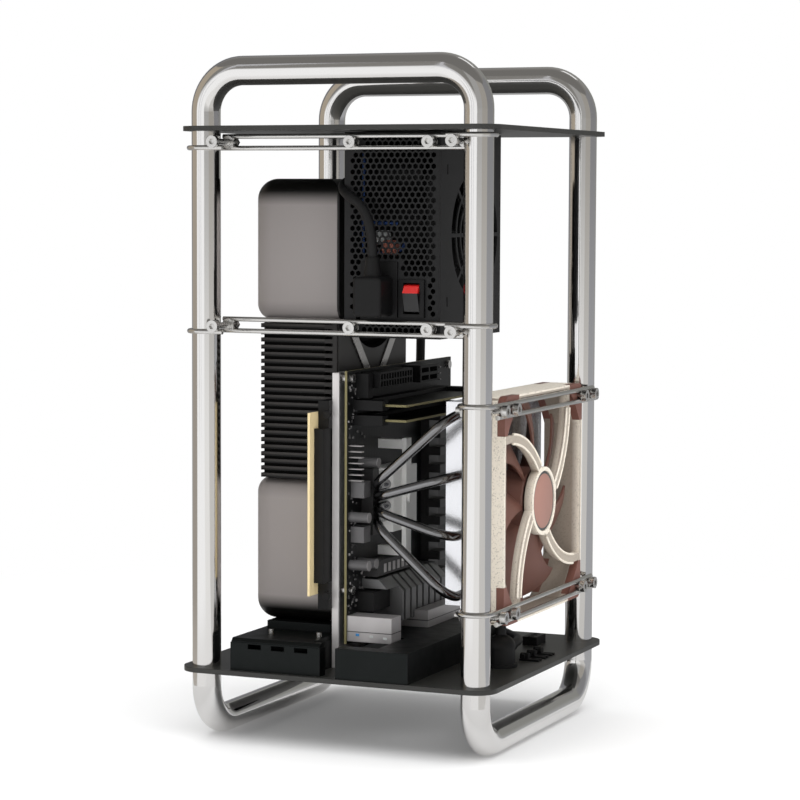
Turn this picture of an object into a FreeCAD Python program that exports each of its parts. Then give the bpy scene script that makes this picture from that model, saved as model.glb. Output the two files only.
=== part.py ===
import FreeCAD, Part
import math
import os

V = FreeCAD.Vector

# All sizes in millimetres. +X is right, +Y is back, +Z is up.
# The origin lies on the floor, midway between the four posts.

# Tube frame
tube_d = 18.0
tube_wall = 1.5
post_x = 181.0
post_y = 186.0
bend_r = 25.0
plate_t = 3.0
plate_over = 14.2
foot_h = 43.5
leg_len = 332.8
hoop_h = 42.8
joiner_in_hoop = 8.0
joiner_in_leg = 16.0

# Cross bars of bent wire
rod_d = 3.0
rod_pitch = 7.2
clamp_off = 11.5
bolt_d = 4.0
bolt_head_d = 7.6
bolt_head_h = 3.5
nut_d = 8.0
nut_h = 2.5

# Power supply, SFX size
psu_w = 63.5
psu_depth = 100.0
psu_h = 125.0
psu_hole_x = 51.5
psu_hole_z = 113.0
psu_x0 = -2.5
psu_roof_gap = 0.7
psu_sheet = 1.0
psu_screw_d = 3.4
washer_t = 1.0
hex_pitch_x = 3.95
hex_pitch_z = hex_pitch_x * math.sqrt(3) / 2
hex_hole = 2.9
hex_keep = 2.0
psu_fan_size = 80.0
psu_fan_t = 15.0

# Case fan
fan_size = 140.0
fan_t = 25.0
fan_hole = 124.5
fan_rise = 32.9

# Main board, mini-ITX size, stands with its ports down
board_size = 170.0
board_t = 1.6
board_y0 = -71.0
board_rise = 15.5
tray_x0 = -14.5
tray_t = 2.3
standoff_len = 6.1
notch_y0 = 57.0
notch_y1 = 86.0
notch_h = 25.0

# Graphics card, stands on its bracket end
gpu_t = 61.0
gpu_depth = 112.0
gpu_len = 278.8
gpu_gap = 0.5
gpu_y0 = -60.0
gpu_rise = 25.2
gpu_round = 13.0
gpu_inner_round = 10.0

# Clearances
fit = 0.1
run = 0.4
shaft_fit = 0.05

# Heights and sides that follow from the sizes above
base_top = foot_h + plate_t
roof = base_top + leg_len
top_z = roof + plate_t
left = -post_x / 2
right = post_x / 2
front = -post_y / 2
back = post_y / 2
tube_r = tube_d / 2
bore_r = tube_r - tube_wall


def block(x0, x1, y0, y1, z0, z1):
    return Part.makeBox(x1 - x0, y1 - y0, z1 - z0, V(x0, y0, z0))


def round_edges(shape, radius, axis):
    edges = []
    for edge in shape.Edges:
        along = edge.tangentAt(edge.FirstParameter)
        if abs(along.dot(axis)) > 0.999 and isinstance(edge.Curve, Part.Line):
            edges.append(edge)
    return shape.makeFillet(radius, edges)


def bar(start, end, radius):
    along = end - start
    return Part.makeCylinder(radius, along.Length, start, along)


def prism(corners, along):
    return Part.Face(Part.makePolygon(corners + [corners[0]])).extrude(along)


def hexagon(centre, across, axis, height):
    side = axis.cross(V(0, 0, 1))
    if side.Length < 0.5:
        side = V(1, 0, 0)
    other = axis.cross(side)
    corners = []
    for i in range(6):
        turn = math.radians(60 * i)
        reach = across / math.sqrt(3)
        corners.append(centre + side * (reach * math.cos(turn)) + other * (reach * math.sin(turn)))
    return prism(corners, axis * height)


def bent_path(points, radii):
    edges = []
    start = points[0]
    for i in range(1, len(points) - 1):
        corner = points[i]
        into = (points[i - 1] - corner).normalize()
        away = (points[i + 1] - corner).normalize()
        half = into.getAngle(away) / 2
        radius = radii[i - 1]
        first = corner + into * (radius / math.tan(half))
        last = corner + away * (radius / math.tan(half))
        middle = corner + (into + away).normalize() * (radius / math.sin(half) - radius)
        if (first - start).Length > 0.001:
            edges.append(Part.makeLine(start, first))
        edges.append(Part.Arc(first, middle, last).toShape())
        start = last
    if (points[-1] - start).Length > 0.001:
        edges.append(Part.makeLine(start, points[-1]))
    return Part.Wire(edges)


def pipe(points, radii, radius):
    path = bent_path(points, radii)
    ring = Part.Wire(Part.makeCircle(radius, points[0], points[1] - points[0]))
    return path.makePipeShell([ring], True, False)


def hollow_pipe(points, radii, outer, inner):
    return pipe(points, radii, outer).cut(pipe(points, radii, inner))


def turned(shape, centre, axis, angle):
    copy = shape.copy()
    copy.rotate(centre, axis, angle)
    return copy


def save(name, solids):
    if isinstance(solids, list):
        shape = Part.makeCompound(solids)
    else:
        shape = solids
    shape.exportStep("parts/" + name + ".step")
    print(name, len(shape.Solids), round(shape.Volume, 1))


os.makedirs("parts", exist_ok=True)


# Tubes: two hoops on top, four legs between the plates, two hoops as feet

def top_hoop(y):
    crown = top_z + hoop_h - tube_r
    points = [V(left, y, top_z), V(left, y, crown), V(right, y, crown), V(right, y, top_z)]
    return hollow_pipe(points, [bend_r, bend_r], tube_r, bore_r)


def foot_hoop(x):
    points = [V(x, front, foot_h), V(x, front, tube_r), V(x, back, tube_r), V(x, back, foot_h)]
    return hollow_pipe(points, [bend_r, bend_r], tube_r, bore_r)


def leg(x, y):
    outer = bar(V(x, y, base_top), V(x, y, roof), tube_r)
    return outer.cut(bar(V(x, y, base_top), V(x, y, roof), bore_r))


save("top_hoop_front", top_hoop(front))
save("top_hoop_rear", top_hoop(back))
save("foot_hoop_left", foot_hoop(left))
save("foot_hoop_right", foot_hoop(right))
save("leg_front_left", leg(left, front))
save("leg_front_right", leg(right, front))
save("leg_rear_left", leg(left, back))
save("leg_rear_right", leg(right, back))

joiners = []
for x in (left, right):
    for y in (front, back):
        low = V(x, y, foot_h - joiner_in_hoop)
        joiners.append(bar(low, V(x, y, base_top + joiner_in_leg), bore_r - fit / 2))
        high = V(x, y, roof - joiner_in_leg)
        joiners.append(bar(high, V(x, y, top_z + joiner_in_hoop), bore_r - fit / 2))
save("tube_joiners", joiners)


# Plates

def plate(z):
    edge_x = right + plate_over
    edge_y = back + plate_over
    sheet = block(-edge_x, edge_x, -edge_y, edge_y, z, z + plate_t)
    sheet = round_edges(sheet, plate_over, V(0, 0, 1))
    for x in (left, right):
        for y in (front, back):
            sheet = sheet.cut(bar(V(x, y, z), V(x, y, z + plate_t), bore_r))
    return sheet


# Pedestals under the graphics card and under the board's ports
ped_sheet = 1.5
ped_front = front - 10.0
ped_x0 = -69.0
ped_x1 = -8.0
ped_front_deep = 8.0
ped_tray_gap = 0.7
ped_back = 45.0
ped_h = 17.5
ped_lid_t = 2.5
io_x0 = 3.7
io_w = 48.0
io_front = front - 13.0
io_back = 48.0
io_h = 18.8
port_deep = 30.0
port_gap = 2.0
ped_rear_x1 = tray_x0 - ped_tray_gap
ped_step_y = ped_front + ped_front_deep
plate_hole_margin = 8.0

base = plate(foot_h)
base = base.cut(round_edges(
    block(ped_x0 + plate_hole_margin, ped_rear_x1 - plate_hole_margin,
          gpu_y0, ped_back - plate_hole_margin, foot_h, base_top), 4.0, V(0, 0, 1)))
base = base.cut(round_edges(
    block(io_x0 + plate_hole_margin, io_x0 + io_w - plate_hole_margin,
          board_y0, io_back - plate_hole_margin, foot_h, base_top), 4.0, V(0, 0, 1)))
save("bottom_plate", base)
save("top_plate", plate(roof))


def pedestal_outline(inset, z0, z1):
    corners = [V(ped_x0 + inset, ped_front + inset, z0), V(ped_x1 - inset, ped_front + inset, z0),
               V(ped_x1 - inset, ped_step_y - inset, z0), V(ped_rear_x1 - inset, ped_step_y - inset, z0),
               V(ped_rear_x1 - inset, ped_back - inset, z0), V(ped_x0 + inset, ped_back - inset, z0)]
    return prism(corners, V(0, 0, z1 - z0))


ped_top = base_top + ped_h
pedestal = pedestal_outline(0, base_top, ped_top).cut(pedestal_outline(ped_sheet, base_top, ped_top))
slot_w = 9.0
slot_h = 3.0
slot_drop = 0.8
for i in range(3):
    middle = ped_x0 + (ped_x1 - ped_x0) * (0.27 + 0.26 * i)
    pedestal = pedestal.cut(block(middle - slot_w / 2, middle + slot_w / 2, ped_front, ped_front + ped_sheet,
                                  ped_top - slot_drop - slot_h, ped_top - slot_drop))
rib_y = ped_step_y + 6.0
rib = block(ped_x0 + ped_sheet, ped_rear_x1 - ped_sheet, rib_y, rib_y + ped_sheet, base_top, ped_top)
pedestal = pedestal.fuse(rib).removeSplitter()
save("gpu_pedestal", pedestal)

lid = pedestal_outline(0.5, ped_top, ped_top + ped_lid_t)
lid_top = ped_top + ped_lid_t
lid_edge = []
for edge in lid.Edges:
    box = edge.BoundBox
    if box.ZMin > lid_top - 0.01 and box.YMax < ped_front + 1.0:
        lid_edge.append(edge)
lid = lid.makeChamfer(1.8, lid_edge)
lid_screw_d = 2.4
lid_screws = []
for x in (ped_x0 + 17.0, ped_rear_x1 - 4.0):
    at = V(x, ped_front + 23.0, lid_top)
    lid = lid.cut(bar(at - V(0, 0, ped_lid_t), at, (lid_screw_d + fit) / 2))
    stud = bar(at - V(0, 0, ped_lid_t + 4.0), at, lid_screw_d / 2)
    lid_screws.append(stud.fuse(bar(at, at + V(0, 0, 3.2), lid_screw_d / 2 + 0.4)))
vent_x0 = ped_x0 + plate_hole_margin
vent_x1 = ped_rear_x1 - plate_hole_margin
lid = lid.cut(block(vent_x0, vent_x1, gpu_y0 + 6.0, ped_back - plate_hole_margin, ped_top, lid_top))
save("gpu_pedestal_lid", lid)
save("pedestal_screws", lid_screws)

io_x1 = io_x0 + io_w
io_top = base_top + io_h
board_face = tray_x0 + tray_t + standoff_len + board_t
port_y0 = board_y0 + 1.0
port_y1 = port_y0 + 15.0
shell = block(io_x0, io_x1, io_front, io_back, base_top, io_top)
shell = shell.cut(block(io_x0 + ped_sheet, io_x1 - ped_sheet, io_front + ped_sheet, io_back - ped_sheet,
                        base_top, io_top - ped_sheet))
shell = shell.cut(block(io_x0, board_face + port_deep + port_gap, port_y0 - 25.0, port_y1 + port_gap,
                        io_top - 3 * ped_sheet, io_top))
save("io_pedestal", shell)


# Cross bars: each bar is a pair of straight wires with one hooked end, clamped by bolts
hook_r = tube_r + rod_d / 2
rod_past = 5.0
front_in = front + hook_r
front_out = front - hook_r
side_out = right + hook_r
side_in = right - hook_r
psu_z1 = roof - psu_roof_gap
psu_z0 = psu_z1 - psu_h
psu_mid_z = (psu_z0 + psu_z1) / 2
fan_z = base_top + fan_rise + fan_size / 2


def front_rod(z, hand):
    x_hook = hand * (right + hook_r)
    x_free = -hand * (right - clamp_off + rod_past)
    x_back = hand * (right - clamp_off - rod_past)
    points = [V(x_free, front_in, z), V(x_hook, front_in, z),
              V(x_hook, front_out, z), V(x_back, front_out, z)]
    return pipe(points, [hook_r, hook_r], rod_d / 2)


def side_rod(z, hand):
    y_hook = hand * (back + hook_r)
    y_free = -hand * (back - clamp_off + rod_past)
    y_back = hand * (back - clamp_off - rod_past)
    points = [V(side_out, y_free, z), V(side_out, y_hook, z), V(side_in, y_hook, z), V(side_in, y_back, z)]
    return pipe(points, [hook_r, hook_r], rod_d / 2)


def bar_pair(make, z, hand):
    return [make(z + rod_pitch / 2, hand), make(z - rod_pitch / 2, -hand)]


front_bar_z = [psu_mid_z - psu_hole_z / 2, psu_mid_z + psu_hole_z / 2]
side_bar_z = [fan_z - fan_hole / 2, fan_z + fan_hole / 2]
save("front_lower_rods", bar_pair(front_rod, front_bar_z[0], 1))
save("front_upper_rods", bar_pair(front_rod, front_bar_z[1], 1))
save("side_lower_rods", bar_pair(side_rod, side_bar_z[0], -1))
save("side_upper_rods", bar_pair(side_rod, side_bar_z[1], -1))


def screw(under_head, along, shank, diameter):
    head = bar(under_head, under_head - along * bolt_head_h, bolt_head_d / 2)
    socket_depth = bolt_head_h * 0.5
    top = under_head - along * bolt_head_h
    head = head.cut(hexagon(top, bolt_head_d * 0.42, along, socket_depth))
    return head.fuse(bar(under_head, under_head + along * shank, diameter / 2))


def ring(at, along, height, outer_d, hole_d):
    return bar(at, at + along * height, outer_d / 2).cut(bar(at, at + along * height, hole_d / 2))


def hex_nut(at, along, height, across, hole_d):
    return hexagon(at, across, along, height).cut(bar(at, at + along * height, hole_d / 2))


clamp_bolts = []
clamp_nuts = []
clamp_len = 2 * hook_r + rod_d + 6.0
nut_hole = bolt_d + fit
for z in front_bar_z:
    for x in (left + clamp_off, right - clamp_off):
        clamp_bolts.append(screw(V(x, front_out - rod_d / 2, z), V(0, 1, 0), clamp_len, bolt_d))
        clamp_nuts.append(ring(V(x, front_in - rod_d / 2, z), V(0, -1, 0), nut_h, nut_d, nut_hole))
        clamp_nuts.append(hex_nut(V(x, front_in + rod_d / 2, z), V(0, 1, 0), nut_h, nut_d, nut_hole))
for z in side_bar_z:
    for y in (front + clamp_off, back - clamp_off):
        clamp_bolts.append(screw(V(side_out + rod_d / 2, y, z), V(-1, 0, 0), clamp_len, bolt_d))
        clamp_nuts.append(ring(V(side_in + rod_d / 2, y, z), V(1, 0, 0), nut_h, nut_d, nut_hole))
        clamp_nuts.append(hex_nut(V(side_in - rod_d / 2, y, z), V(-1, 0, 0), nut_h, nut_d, nut_hole))
for z in side_bar_z:
    for y in (-fan_hole / 2, fan_hole / 2):
        clamp_bolts.append(screw(V(side_out + rod_d / 2, y, z), V(-1, 0, 0), rod_d + 14.0, bolt_d))
save("clamp_and_fan_bolts", clamp_bolts)
save("clamp_nuts", clamp_nuts)


# Power supply: folded tray with the pierced end panel, folded cover with the fan guard
psu_y0 = front_in + rod_d / 2 + washer_t
psu_y1 = psu_y0 + psu_depth
psu_x1 = psu_x0 + psu_w
psu_mid_x = (psu_x0 + psu_x1) / 2
psu_mid_y = (psu_y0 + psu_y1) / 2
psu_screw_at = []
for z in front_bar_z:
    for x in (psu_mid_x - psu_hole_x / 2, psu_mid_x + psu_hole_x / 2):
        psu_screw_at.append((x, z))

inlet_w = 24.2
inlet_h = 34.0
inlet_x0 = psu_x0 + 11.5
inlet_z0 = psu_z0 + 12.5
inlet_rim = 1.5
inlet_inset = 1.5
inlet_deep = 22.0
socket_w = 16.4
socket_h = 20.4
socket_deep = 15.5
socket_x = inlet_x0 + 12.0
socket_z = inlet_z0 + 13.0

switch_w = 16.6
switch_h = 23.0
switch_x = psu_x0 + 45.2
switch_z = psu_z0 + 24.4
switch_rim = 1.8
switch_inset = 0.7
switch_deep = 15.0
rocker_r = 9.0
rocker_w = 9.8
rocker_pin_d = 2.0
rocker_pin_l = 1.0
rocker_y = psu_y0 + 3.5


def hex_wire(x, z):
    corners = []
    reach = hex_hole / math.sqrt(3)
    for i in range(7):
        turn = math.radians(60 * i + 30)
        corners.append(V(x + reach * math.cos(turn), psu_y0, z + reach * math.sin(turn)))
    return Part.makePolygon(corners)


def rect_wire(x0, x1, z0, z1):
    corners = [V(x0, psu_y0, z0), V(x1, psu_y0, z0), V(x1, psu_y0, z1), V(x0, psu_y0, z1), V(x0, psu_y0, z0)]
    return Part.makePolygon(corners)


def hole_is_free(x, z):
    keep = hex_keep
    if x > psu_x1 - 3.5 or x < psu_x0 + 4.5 or z < psu_z0 + 3.5 or z > psu_z1 - 3.5:
        return False
    for (sx, sz) in psu_screw_at:
        if math.hypot(x - sx, z - sz) < 6.0:
            return False
    if inlet_x0 - keep < x < inlet_x0 + inlet_w + keep and inlet_z0 - keep < z < inlet_z0 + inlet_h + keep:
        return False
    if abs(x - switch_x) < switch_w / 2 + keep and abs(z - switch_z) < switch_h / 2 + keep:
        return False
    return True


inner_x1 = psu_x1 - psu_sheet
inner_z0 = psu_z0 + psu_sheet
inner_z1 = psu_z1 - psu_sheet
inlet_hole = rect_wire(inlet_x0 + inlet_inset, inlet_x0 + inlet_w - inlet_inset,
                       inlet_z0 + inlet_inset, inlet_z0 + inlet_h - inlet_inset)
switch_hole = rect_wire(switch_x - switch_w / 2 + switch_inset, switch_x + switch_w / 2 - switch_inset,
                        switch_z - switch_h / 2 + switch_inset, switch_z + switch_h / 2 - switch_inset)
wires = [rect_wire(psu_x0, inner_x1, inner_z0, inner_z1), inlet_hole, switch_hole]
for (x, z) in psu_screw_at:
    wires.append(Part.Wire(Part.makeCircle(psu_screw_d / 2 + fit, V(x, psu_y0, z), V(0, 1, 0))))
row = 0
z = psu_z0 + 5.0
while z < psu_z1:
    x = psu_x0 + 5.4 + (row % 2) * hex_pitch_x / 2
    while x < psu_x1:
        if hole_is_free(x, z):
            wires.append(hex_wire(x, z))
        x = x + hex_pitch_x
    row = row + 1
    z = z + hex_pitch_z
panel_face = Part.makeFace(wires, "Part::FaceMakerBullseye")
panel = panel_face.extrude(V(0, psu_sheet, 0))
side_wall = block(psu_x0, psu_x0 + psu_sheet, psu_y0, psu_y1, inner_z0, inner_z1)
rear_wall = block(psu_x0, inner_x1, psu_y1 - psu_sheet, psu_y1, inner_z0, inner_z1)
tray = panel.fuse([side_wall, rear_wall]).removeSplitter()
save("psu_tray", tray)

psu_fan_r = psu_fan_size / 2 - 1.5
psu_fan_y = psu_y0 + 56.0
guard_ring = 2.0
guard_bar = 2.4
wall = block(inner_x1, psu_x1, psu_y0, psu_y1, psu_z0, psu_z1)
guard_slots = []
guard_hub = 11.0
guard_steps = 4
guard_step = (psu_fan_r - guard_hub) / guard_steps
for i in range(guard_steps):
    inner = guard_hub + i * guard_step
    outer = inner + guard_step - guard_ring
    if i == guard_steps - 1:
        outer = psu_fan_r
    at = V(inner_x1, psu_fan_y, psu_mid_z)
    guard_slots.append(Part.makeCylinder(outer, psu_sheet, at, V(1, 0, 0)).cut(
        Part.makeCylinder(inner, psu_sheet, at, V(1, 0, 0))))
guard_cut = Part.makeCompound(guard_slots)
for i in range(4):
    spoke = block(inner_x1, psu_x1, psu_fan_y - psu_fan_r - 1, psu_fan_y + psu_fan_r + 1,
                  psu_mid_z - guard_bar / 2, psu_mid_z + guard_bar / 2)
    spoke = turned(spoke, V(0, psu_fan_y, psu_mid_z), V(1, 0, 0), 45 * i)
    guard_cut = guard_cut.cut(spoke)
wall = wall.cut(guard_cut)
mark_w = 1.6
mark_h = 6.0
mark_y = psu_y0 + 10.0
for z in (psu_mid_z - 40.0, psu_mid_z + 40.0):
    wall = wall.cut(block(inner_x1, psu_x1, mark_y, mark_y + mark_w, z - mark_h / 2, z + mark_h / 2))
roof_wall = block(psu_x0, psu_x1, psu_y0, psu_y1, inner_z1, psu_z1)
floor_wall = block(psu_x0, psu_x1, psu_y0, psu_y1, psu_z0, inner_z0)
save("psu_cover", wall.fuse([roof_wall, floor_wall]).removeSplitter())

psu_screws = []
for (x, z) in psu_screw_at:
    under_head = V(x, front_in - rod_d / 2, z)
    psu_screws.append(screw(under_head, V(0, 1, 0), rod_d + washer_t + psu_sheet + 4.0, psu_screw_d))
    psu_screws.append(ring(V(x, front_in + rod_d / 2, z), V(0, 1, 0), washer_t, nut_d, psu_screw_d + fit))
save("psu_screws_and_washers", psu_screws)


# Power inlet, switch and rocker of the power supply
inlet_z1 = inlet_z0 + inlet_h
inlet_x1 = inlet_x0 + inlet_w
inlet = block(inlet_x0, inlet_x1, psu_y0 - inlet_rim, psu_y0, inlet_z0, inlet_z1)
inlet_body = block(inlet_x0 + inlet_inset + fit, inlet_x1 - inlet_inset - fit, psu_y0, psu_y0 + inlet_deep,
                   inlet_z0 + inlet_inset + fit, inlet_z1 - inlet_inset - fit)
inlet = inlet.fuse(inlet_body)
inlet = inlet.cut(block(socket_x - socket_w / 2, socket_x + socket_w / 2, psu_y0 - inlet_rim,
                        psu_y0 - inlet_rim + socket_deep, socket_z - socket_h / 2, socket_z + socket_h / 2))
save("psu_inlet", inlet)

bezel = block(switch_x - switch_w / 2, switch_x + switch_w / 2, psu_y0 - switch_rim, psu_y0,
              switch_z - switch_h / 2, switch_z + switch_h / 2)
body_half_w = switch_w / 2 - switch_inset - fit
body_half_h = switch_h / 2 - switch_inset - fit
bezel = bezel.fuse(block(switch_x - body_half_w, switch_x + body_half_w, psu_y0, psu_y0 + switch_deep,
                         switch_z - body_half_h, switch_z + body_half_h))
bezel = bezel.cut(block(switch_x - rocker_w / 2 - run, switch_x + rocker_w / 2 + run, psu_y0 - switch_rim,
                        rocker_y + rocker_r + run,
                        switch_z - rocker_r - run, switch_z + rocker_r + run))
pin_reach = rocker_w / 2 + run + rocker_pin_l
bezel = bezel.cut(bar(V(switch_x - pin_reach - run, rocker_y, switch_z),
                      V(switch_x + pin_reach + run, rocker_y, switch_z), rocker_pin_d / 2 + shaft_fit))
save("psu_switch", bezel)

ridge_z = switch_z + 3.3
rocker_out = psu_y0 - 4.4
rocker_edge = psu_y0 - 0.5
corners = [V(0, rocker_edge, switch_z - rocker_r), V(0, rocker_out, ridge_z),
           V(0, rocker_edge, switch_z + rocker_r), V(0, rocker_y + 3.2, switch_z + rocker_r),
           V(0, rocker_y + 3.2, switch_z - rocker_r)]
rocker = prism(corners, V(rocker_w, 0, 0))
rocker.translate(V(switch_x - rocker_w / 2, 0, 0))
rocker = rocker.common(bar(V(switch_x - rocker_w, rocker_y, switch_z),
                           V(switch_x + rocker_w, rocker_y, switch_z), rocker_r))
rocker = rocker.fuse(bar(V(switch_x - pin_reach, rocker_y, switch_z),
                         V(switch_x + pin_reach, rocker_y, switch_z), rocker_pin_d / 2))
save("psu_rocker", rocker)


# Fans: a rotor with a closed hub face towards the viewer side and a shaft hole behind

def rotor(hub_r, tip_r, depth, blades, chord, pitch, blade_t, hole_d, hole_deep):
    hub = Part.makeCylinder(hub_r, depth, V(0, 0, 0), V(1, 0, 0))
    shapes = []
    blade = block(-blade_t / 2, blade_t / 2, -chord / 2, chord / 2, hub_r - 1.5, tip_r + 5.0)
    blade = turned(blade, V(0, 0, 0), V(0, 0, 1), pitch)
    blade.translate(V(depth / 2, 0, 0))
    disc = Part.makeCylinder(tip_r, depth, V(0, 0, 0), V(1, 0, 0))
    blade = blade.common(disc)
    for i in range(blades):
        shapes.append(turned(blade, V(0, 0, 0), V(1, 0, 0), 360.0 * i / blades))
    hub = hub.fuse(shapes)
    return hub.cut(Part.makeCylinder(hole_d / 2, hole_deep, V(depth - hole_deep, 0, 0), V(1, 0, 0)))


def place(shape, x, y, z, flip):
    copy = shape.copy()
    if flip:
        copy.rotate(V(0, 0, 0), V(0, 0, 1), 180)
    copy.translate(V(x, y, z))
    return copy


shaft_d = 4.0
psu_hub_r = 15.0
psu_hub_t = 2.5
fan_gap = 1.0
psu_fan_x0 = inner_x1 - psu_fan_t
psu_fan = block(psu_fan_x0, inner_x1, psu_fan_y - psu_fan_size / 2, psu_fan_y + psu_fan_size / 2,
                psu_mid_z - psu_fan_size / 2, psu_mid_z + psu_fan_size / 2)
psu_fan = round_edges(psu_fan, 4.0, V(1, 0, 0))
psu_fan = psu_fan.cut(bar(V(psu_fan_x0, psu_fan_y, psu_mid_z), V(inner_x1, psu_fan_y, psu_mid_z), psu_fan_r))
psu_hub = bar(V(psu_fan_x0, psu_fan_y, psu_mid_z), V(psu_fan_x0 + psu_hub_t, psu_fan_y, psu_mid_z), psu_hub_r)
strut_w = 5.0
for i in range(3):
    strut = block(psu_fan_x0, psu_fan_x0 + psu_hub_t, psu_fan_y - strut_w / 2, psu_fan_y + strut_w / 2,
                  psu_mid_z, psu_mid_z + psu_fan_r + 0.8)
    psu_hub = psu_hub.fuse(turned(strut, V(0, psu_fan_y, psu_mid_z), V(1, 0, 0), 120 * i + 40))
psu_shaft_l = 8.0
psu_hub = psu_hub.fuse(bar(V(psu_fan_x0 + psu_hub_t, psu_fan_y, psu_mid_z),
                           V(psu_fan_x0 + psu_hub_t + psu_shaft_l, psu_fan_y, psu_mid_z), shaft_d / 2))
save("psu_fan_frame", psu_fan.fuse(psu_hub))
psu_rotor_t = psu_fan_t - psu_hub_t - 2 * fan_gap
shaft_hole_d = shaft_d + 2 * shaft_fit
psu_rotor = rotor(psu_hub_r, psu_fan_r - 1.5, psu_rotor_t, 9, 16.0, 55, 1.4, shaft_hole_d, psu_shaft_l)
save("psu_fan_rotor", place(psu_rotor, inner_x1 - fan_gap, psu_fan_y, psu_mid_z, True))

pcb_gap = 6.0
psu_pcb_x = psu_x0 + psu_sheet + pcb_gap
psu_pcb = block(psu_pcb_x, psu_pcb_x + board_t, psu_y0 + 26.0, psu_y1 - 6.0, psu_z0 + 6.0, psu_z1 - 6.0)
for y in (psu_y0 + 32.0, psu_y1 - 12.0):
    for z in (psu_z0 + 12.0, psu_z1 - 12.0):
        psu_pcb = psu_pcb.fuse(bar(V(psu_x0 + psu_sheet, y, z), V(psu_pcb_x, y, z), 3.0))
part_x = psu_pcb_x + board_t
psu_parts = [psu_pcb]
psu_parts.append(block(part_x, part_x + 26.0, psu_mid_y - 8.0, psu_mid_y + 18.0,
                       psu_mid_z - 16.0, psu_mid_z + 16.0))
for z in (psu_mid_z - 38.0, psu_mid_z - 24.0):
    psu_parts.append(bar(V(part_x, psu_mid_y, z), V(part_x + 24.0, psu_mid_y, z), 6.0))
bulk = V(part_x, psu_mid_y - 8.0, psu_mid_z + 38.0)
psu_parts.append(bar(bulk, bulk + V(30.0, 0, 0), 12.0))
psu_parts.append(block(part_x, part_x + 28.0, psu_mid_y + 24.0, psu_mid_y + 27.0,
                       psu_mid_z - 45.0, psu_mid_z + 45.0))
save("psu_circuit", psu_parts)


# Mains lead: moulded plug in the inlet, lead round the back, moulded cap on the base
plug_w = 18.5
plug_h = 24.2
plug_t = 18.5
plug_y1 = psu_y0 - inlet_rim
plug_y0 = plug_y1 - plug_t
plug = block(socket_x - plug_w / 2, socket_x + plug_w / 2, plug_y0, plug_y1,
             socket_z - plug_h / 2, socket_z + plug_h / 2)
plug = round_edges(plug, 2.6, V(0, 1, 0))
plug_front = []
for edge in plug.Edges:
    if edge.BoundBox.YMax < plug_y0 + 0.01:
        plug_front.append(edge)
plug = plug.makeFillet(1.6, plug_front)
collar_d = 11.0
collar_h = 12.0
lead_d = 6.0
lead_top = socket_z + plug_h / 2 + collar_h
lead_y = plug_y0 + plug_t / 2
plug = plug.fuse(Part.makeCone(collar_d / 2, lead_d / 2 + 1.2, collar_h,
                               V(socket_x, lead_y, socket_z + plug_h / 2), V(0, 0, 1)))
nose_gap = 0.3
plug = plug.fuse(block(socket_x - socket_w / 2 + nose_gap, socket_x + socket_w / 2 - nose_gap,
                       plug_y1, plug_y1 + socket_deep - 1.0,
                       socket_z - socket_h / 2 + nose_gap, socket_z + socket_h / 2 - nose_gap))
save("ac_plug", plug)

cap_x = right - 11.0
cap_y = -22.0
cap_r = 9.0
cap_h = 20.0
cap_wall_h = 11.0
neck_r = 3.2
neck_h = 7.5
flange_r = 10.5
flange_h = 2.0
cap_lead_z = base_top + 9.0
cap_lead_x = cap_x - 3.5
cap_lead_y = cap_y + 28.0
cap_at = V(cap_x, cap_y, base_top)
shoulder = math.sqrt(0.5)
profile = [Part.makeLine(cap_at, cap_at + V(cap_r, 0, 0)),
           Part.makeLine(cap_at + V(cap_r, 0, 0), cap_at + V(cap_r, 0, cap_wall_h)),
           Part.Arc(cap_at + V(cap_r, 0, cap_wall_h),
                    cap_at + V(neck_r + (cap_r - neck_r) * shoulder, 0,
                               cap_wall_h + (cap_h - cap_wall_h) * shoulder),
                    cap_at + V(neck_r, 0, cap_h)).toShape(),
           Part.makeLine(cap_at + V(neck_r, 0, cap_h), cap_at + V(neck_r, 0, cap_h + neck_h)),
           Part.makeLine(cap_at + V(neck_r, 0, cap_h + neck_h), cap_at + V(0, 0, cap_h + neck_h)),
           Part.makeLine(cap_at + V(0, 0, cap_h + neck_h), cap_at)]
cap = Part.Face(Part.Wire(profile)).revolve(cap_at, V(0, 0, 1), 360)
cap = cap.fuse(bar(cap_at, cap_at + V(0, 0, flange_h), flange_r))
gland_l = cap_lead_y - cap_y
cap = cap.fuse(Part.makeCone(lead_d / 2 + 2.6, lead_d / 2 + 1.2, gland_l,
                             V(cap_lead_x, cap_y, cap_lead_z), V(0, 1, 0)))
save("power_inlet_cap", cap)

lead_gap_x = (psu_x0 + tray_x0) / 2
drop_x = tray_x0 - 7.5
drop_y = board_y0 + board_size - 15.0
pass_y = notch_y0 + (notch_y1 - notch_y0) / 2
lead_z = base_top + 8.0
lead_points = [V(socket_x, lead_y, lead_top),
               V(socket_x, lead_y, lead_top + 27.0),
               V(lead_gap_x + 2.0, psu_y0 - 4.0, psu_z1 - 34.0),
               V(lead_gap_x, psu_y0 + 34.0, psu_z1 - 26.0),
               V(lead_gap_x, psu_y0 + 86.0, psu_z1 - 36.0),
               V(lead_gap_x, psu_y0 + 134.0, psu_z1 - 72.0),
               V(drop_x + 2.0, drop_y, psu_z0 + 4.0),
               V(drop_x, drop_y + 2.0, base_top + 150.0),
               V(drop_x, pass_y + 4.0, base_top + 90.0),
               V(drop_x, pass_y, base_top + 50.0),
               V(drop_x, pass_y + 0.5, base_top + 25.0),
               V(drop_x + 17.0, pass_y, lead_z),
               V(drop_x + 40.0, pass_y, lead_z),
               V(drop_x + 66.0, pass_y - 6.0, lead_z),
               V(cap_lead_x - 14.0, cap_lead_y + 38.0, lead_z),
               V(cap_lead_x, cap_lead_y + 18.0, cap_lead_z),
               V(cap_lead_x, cap_lead_y, cap_lead_z)]
lead_radii = []
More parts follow.
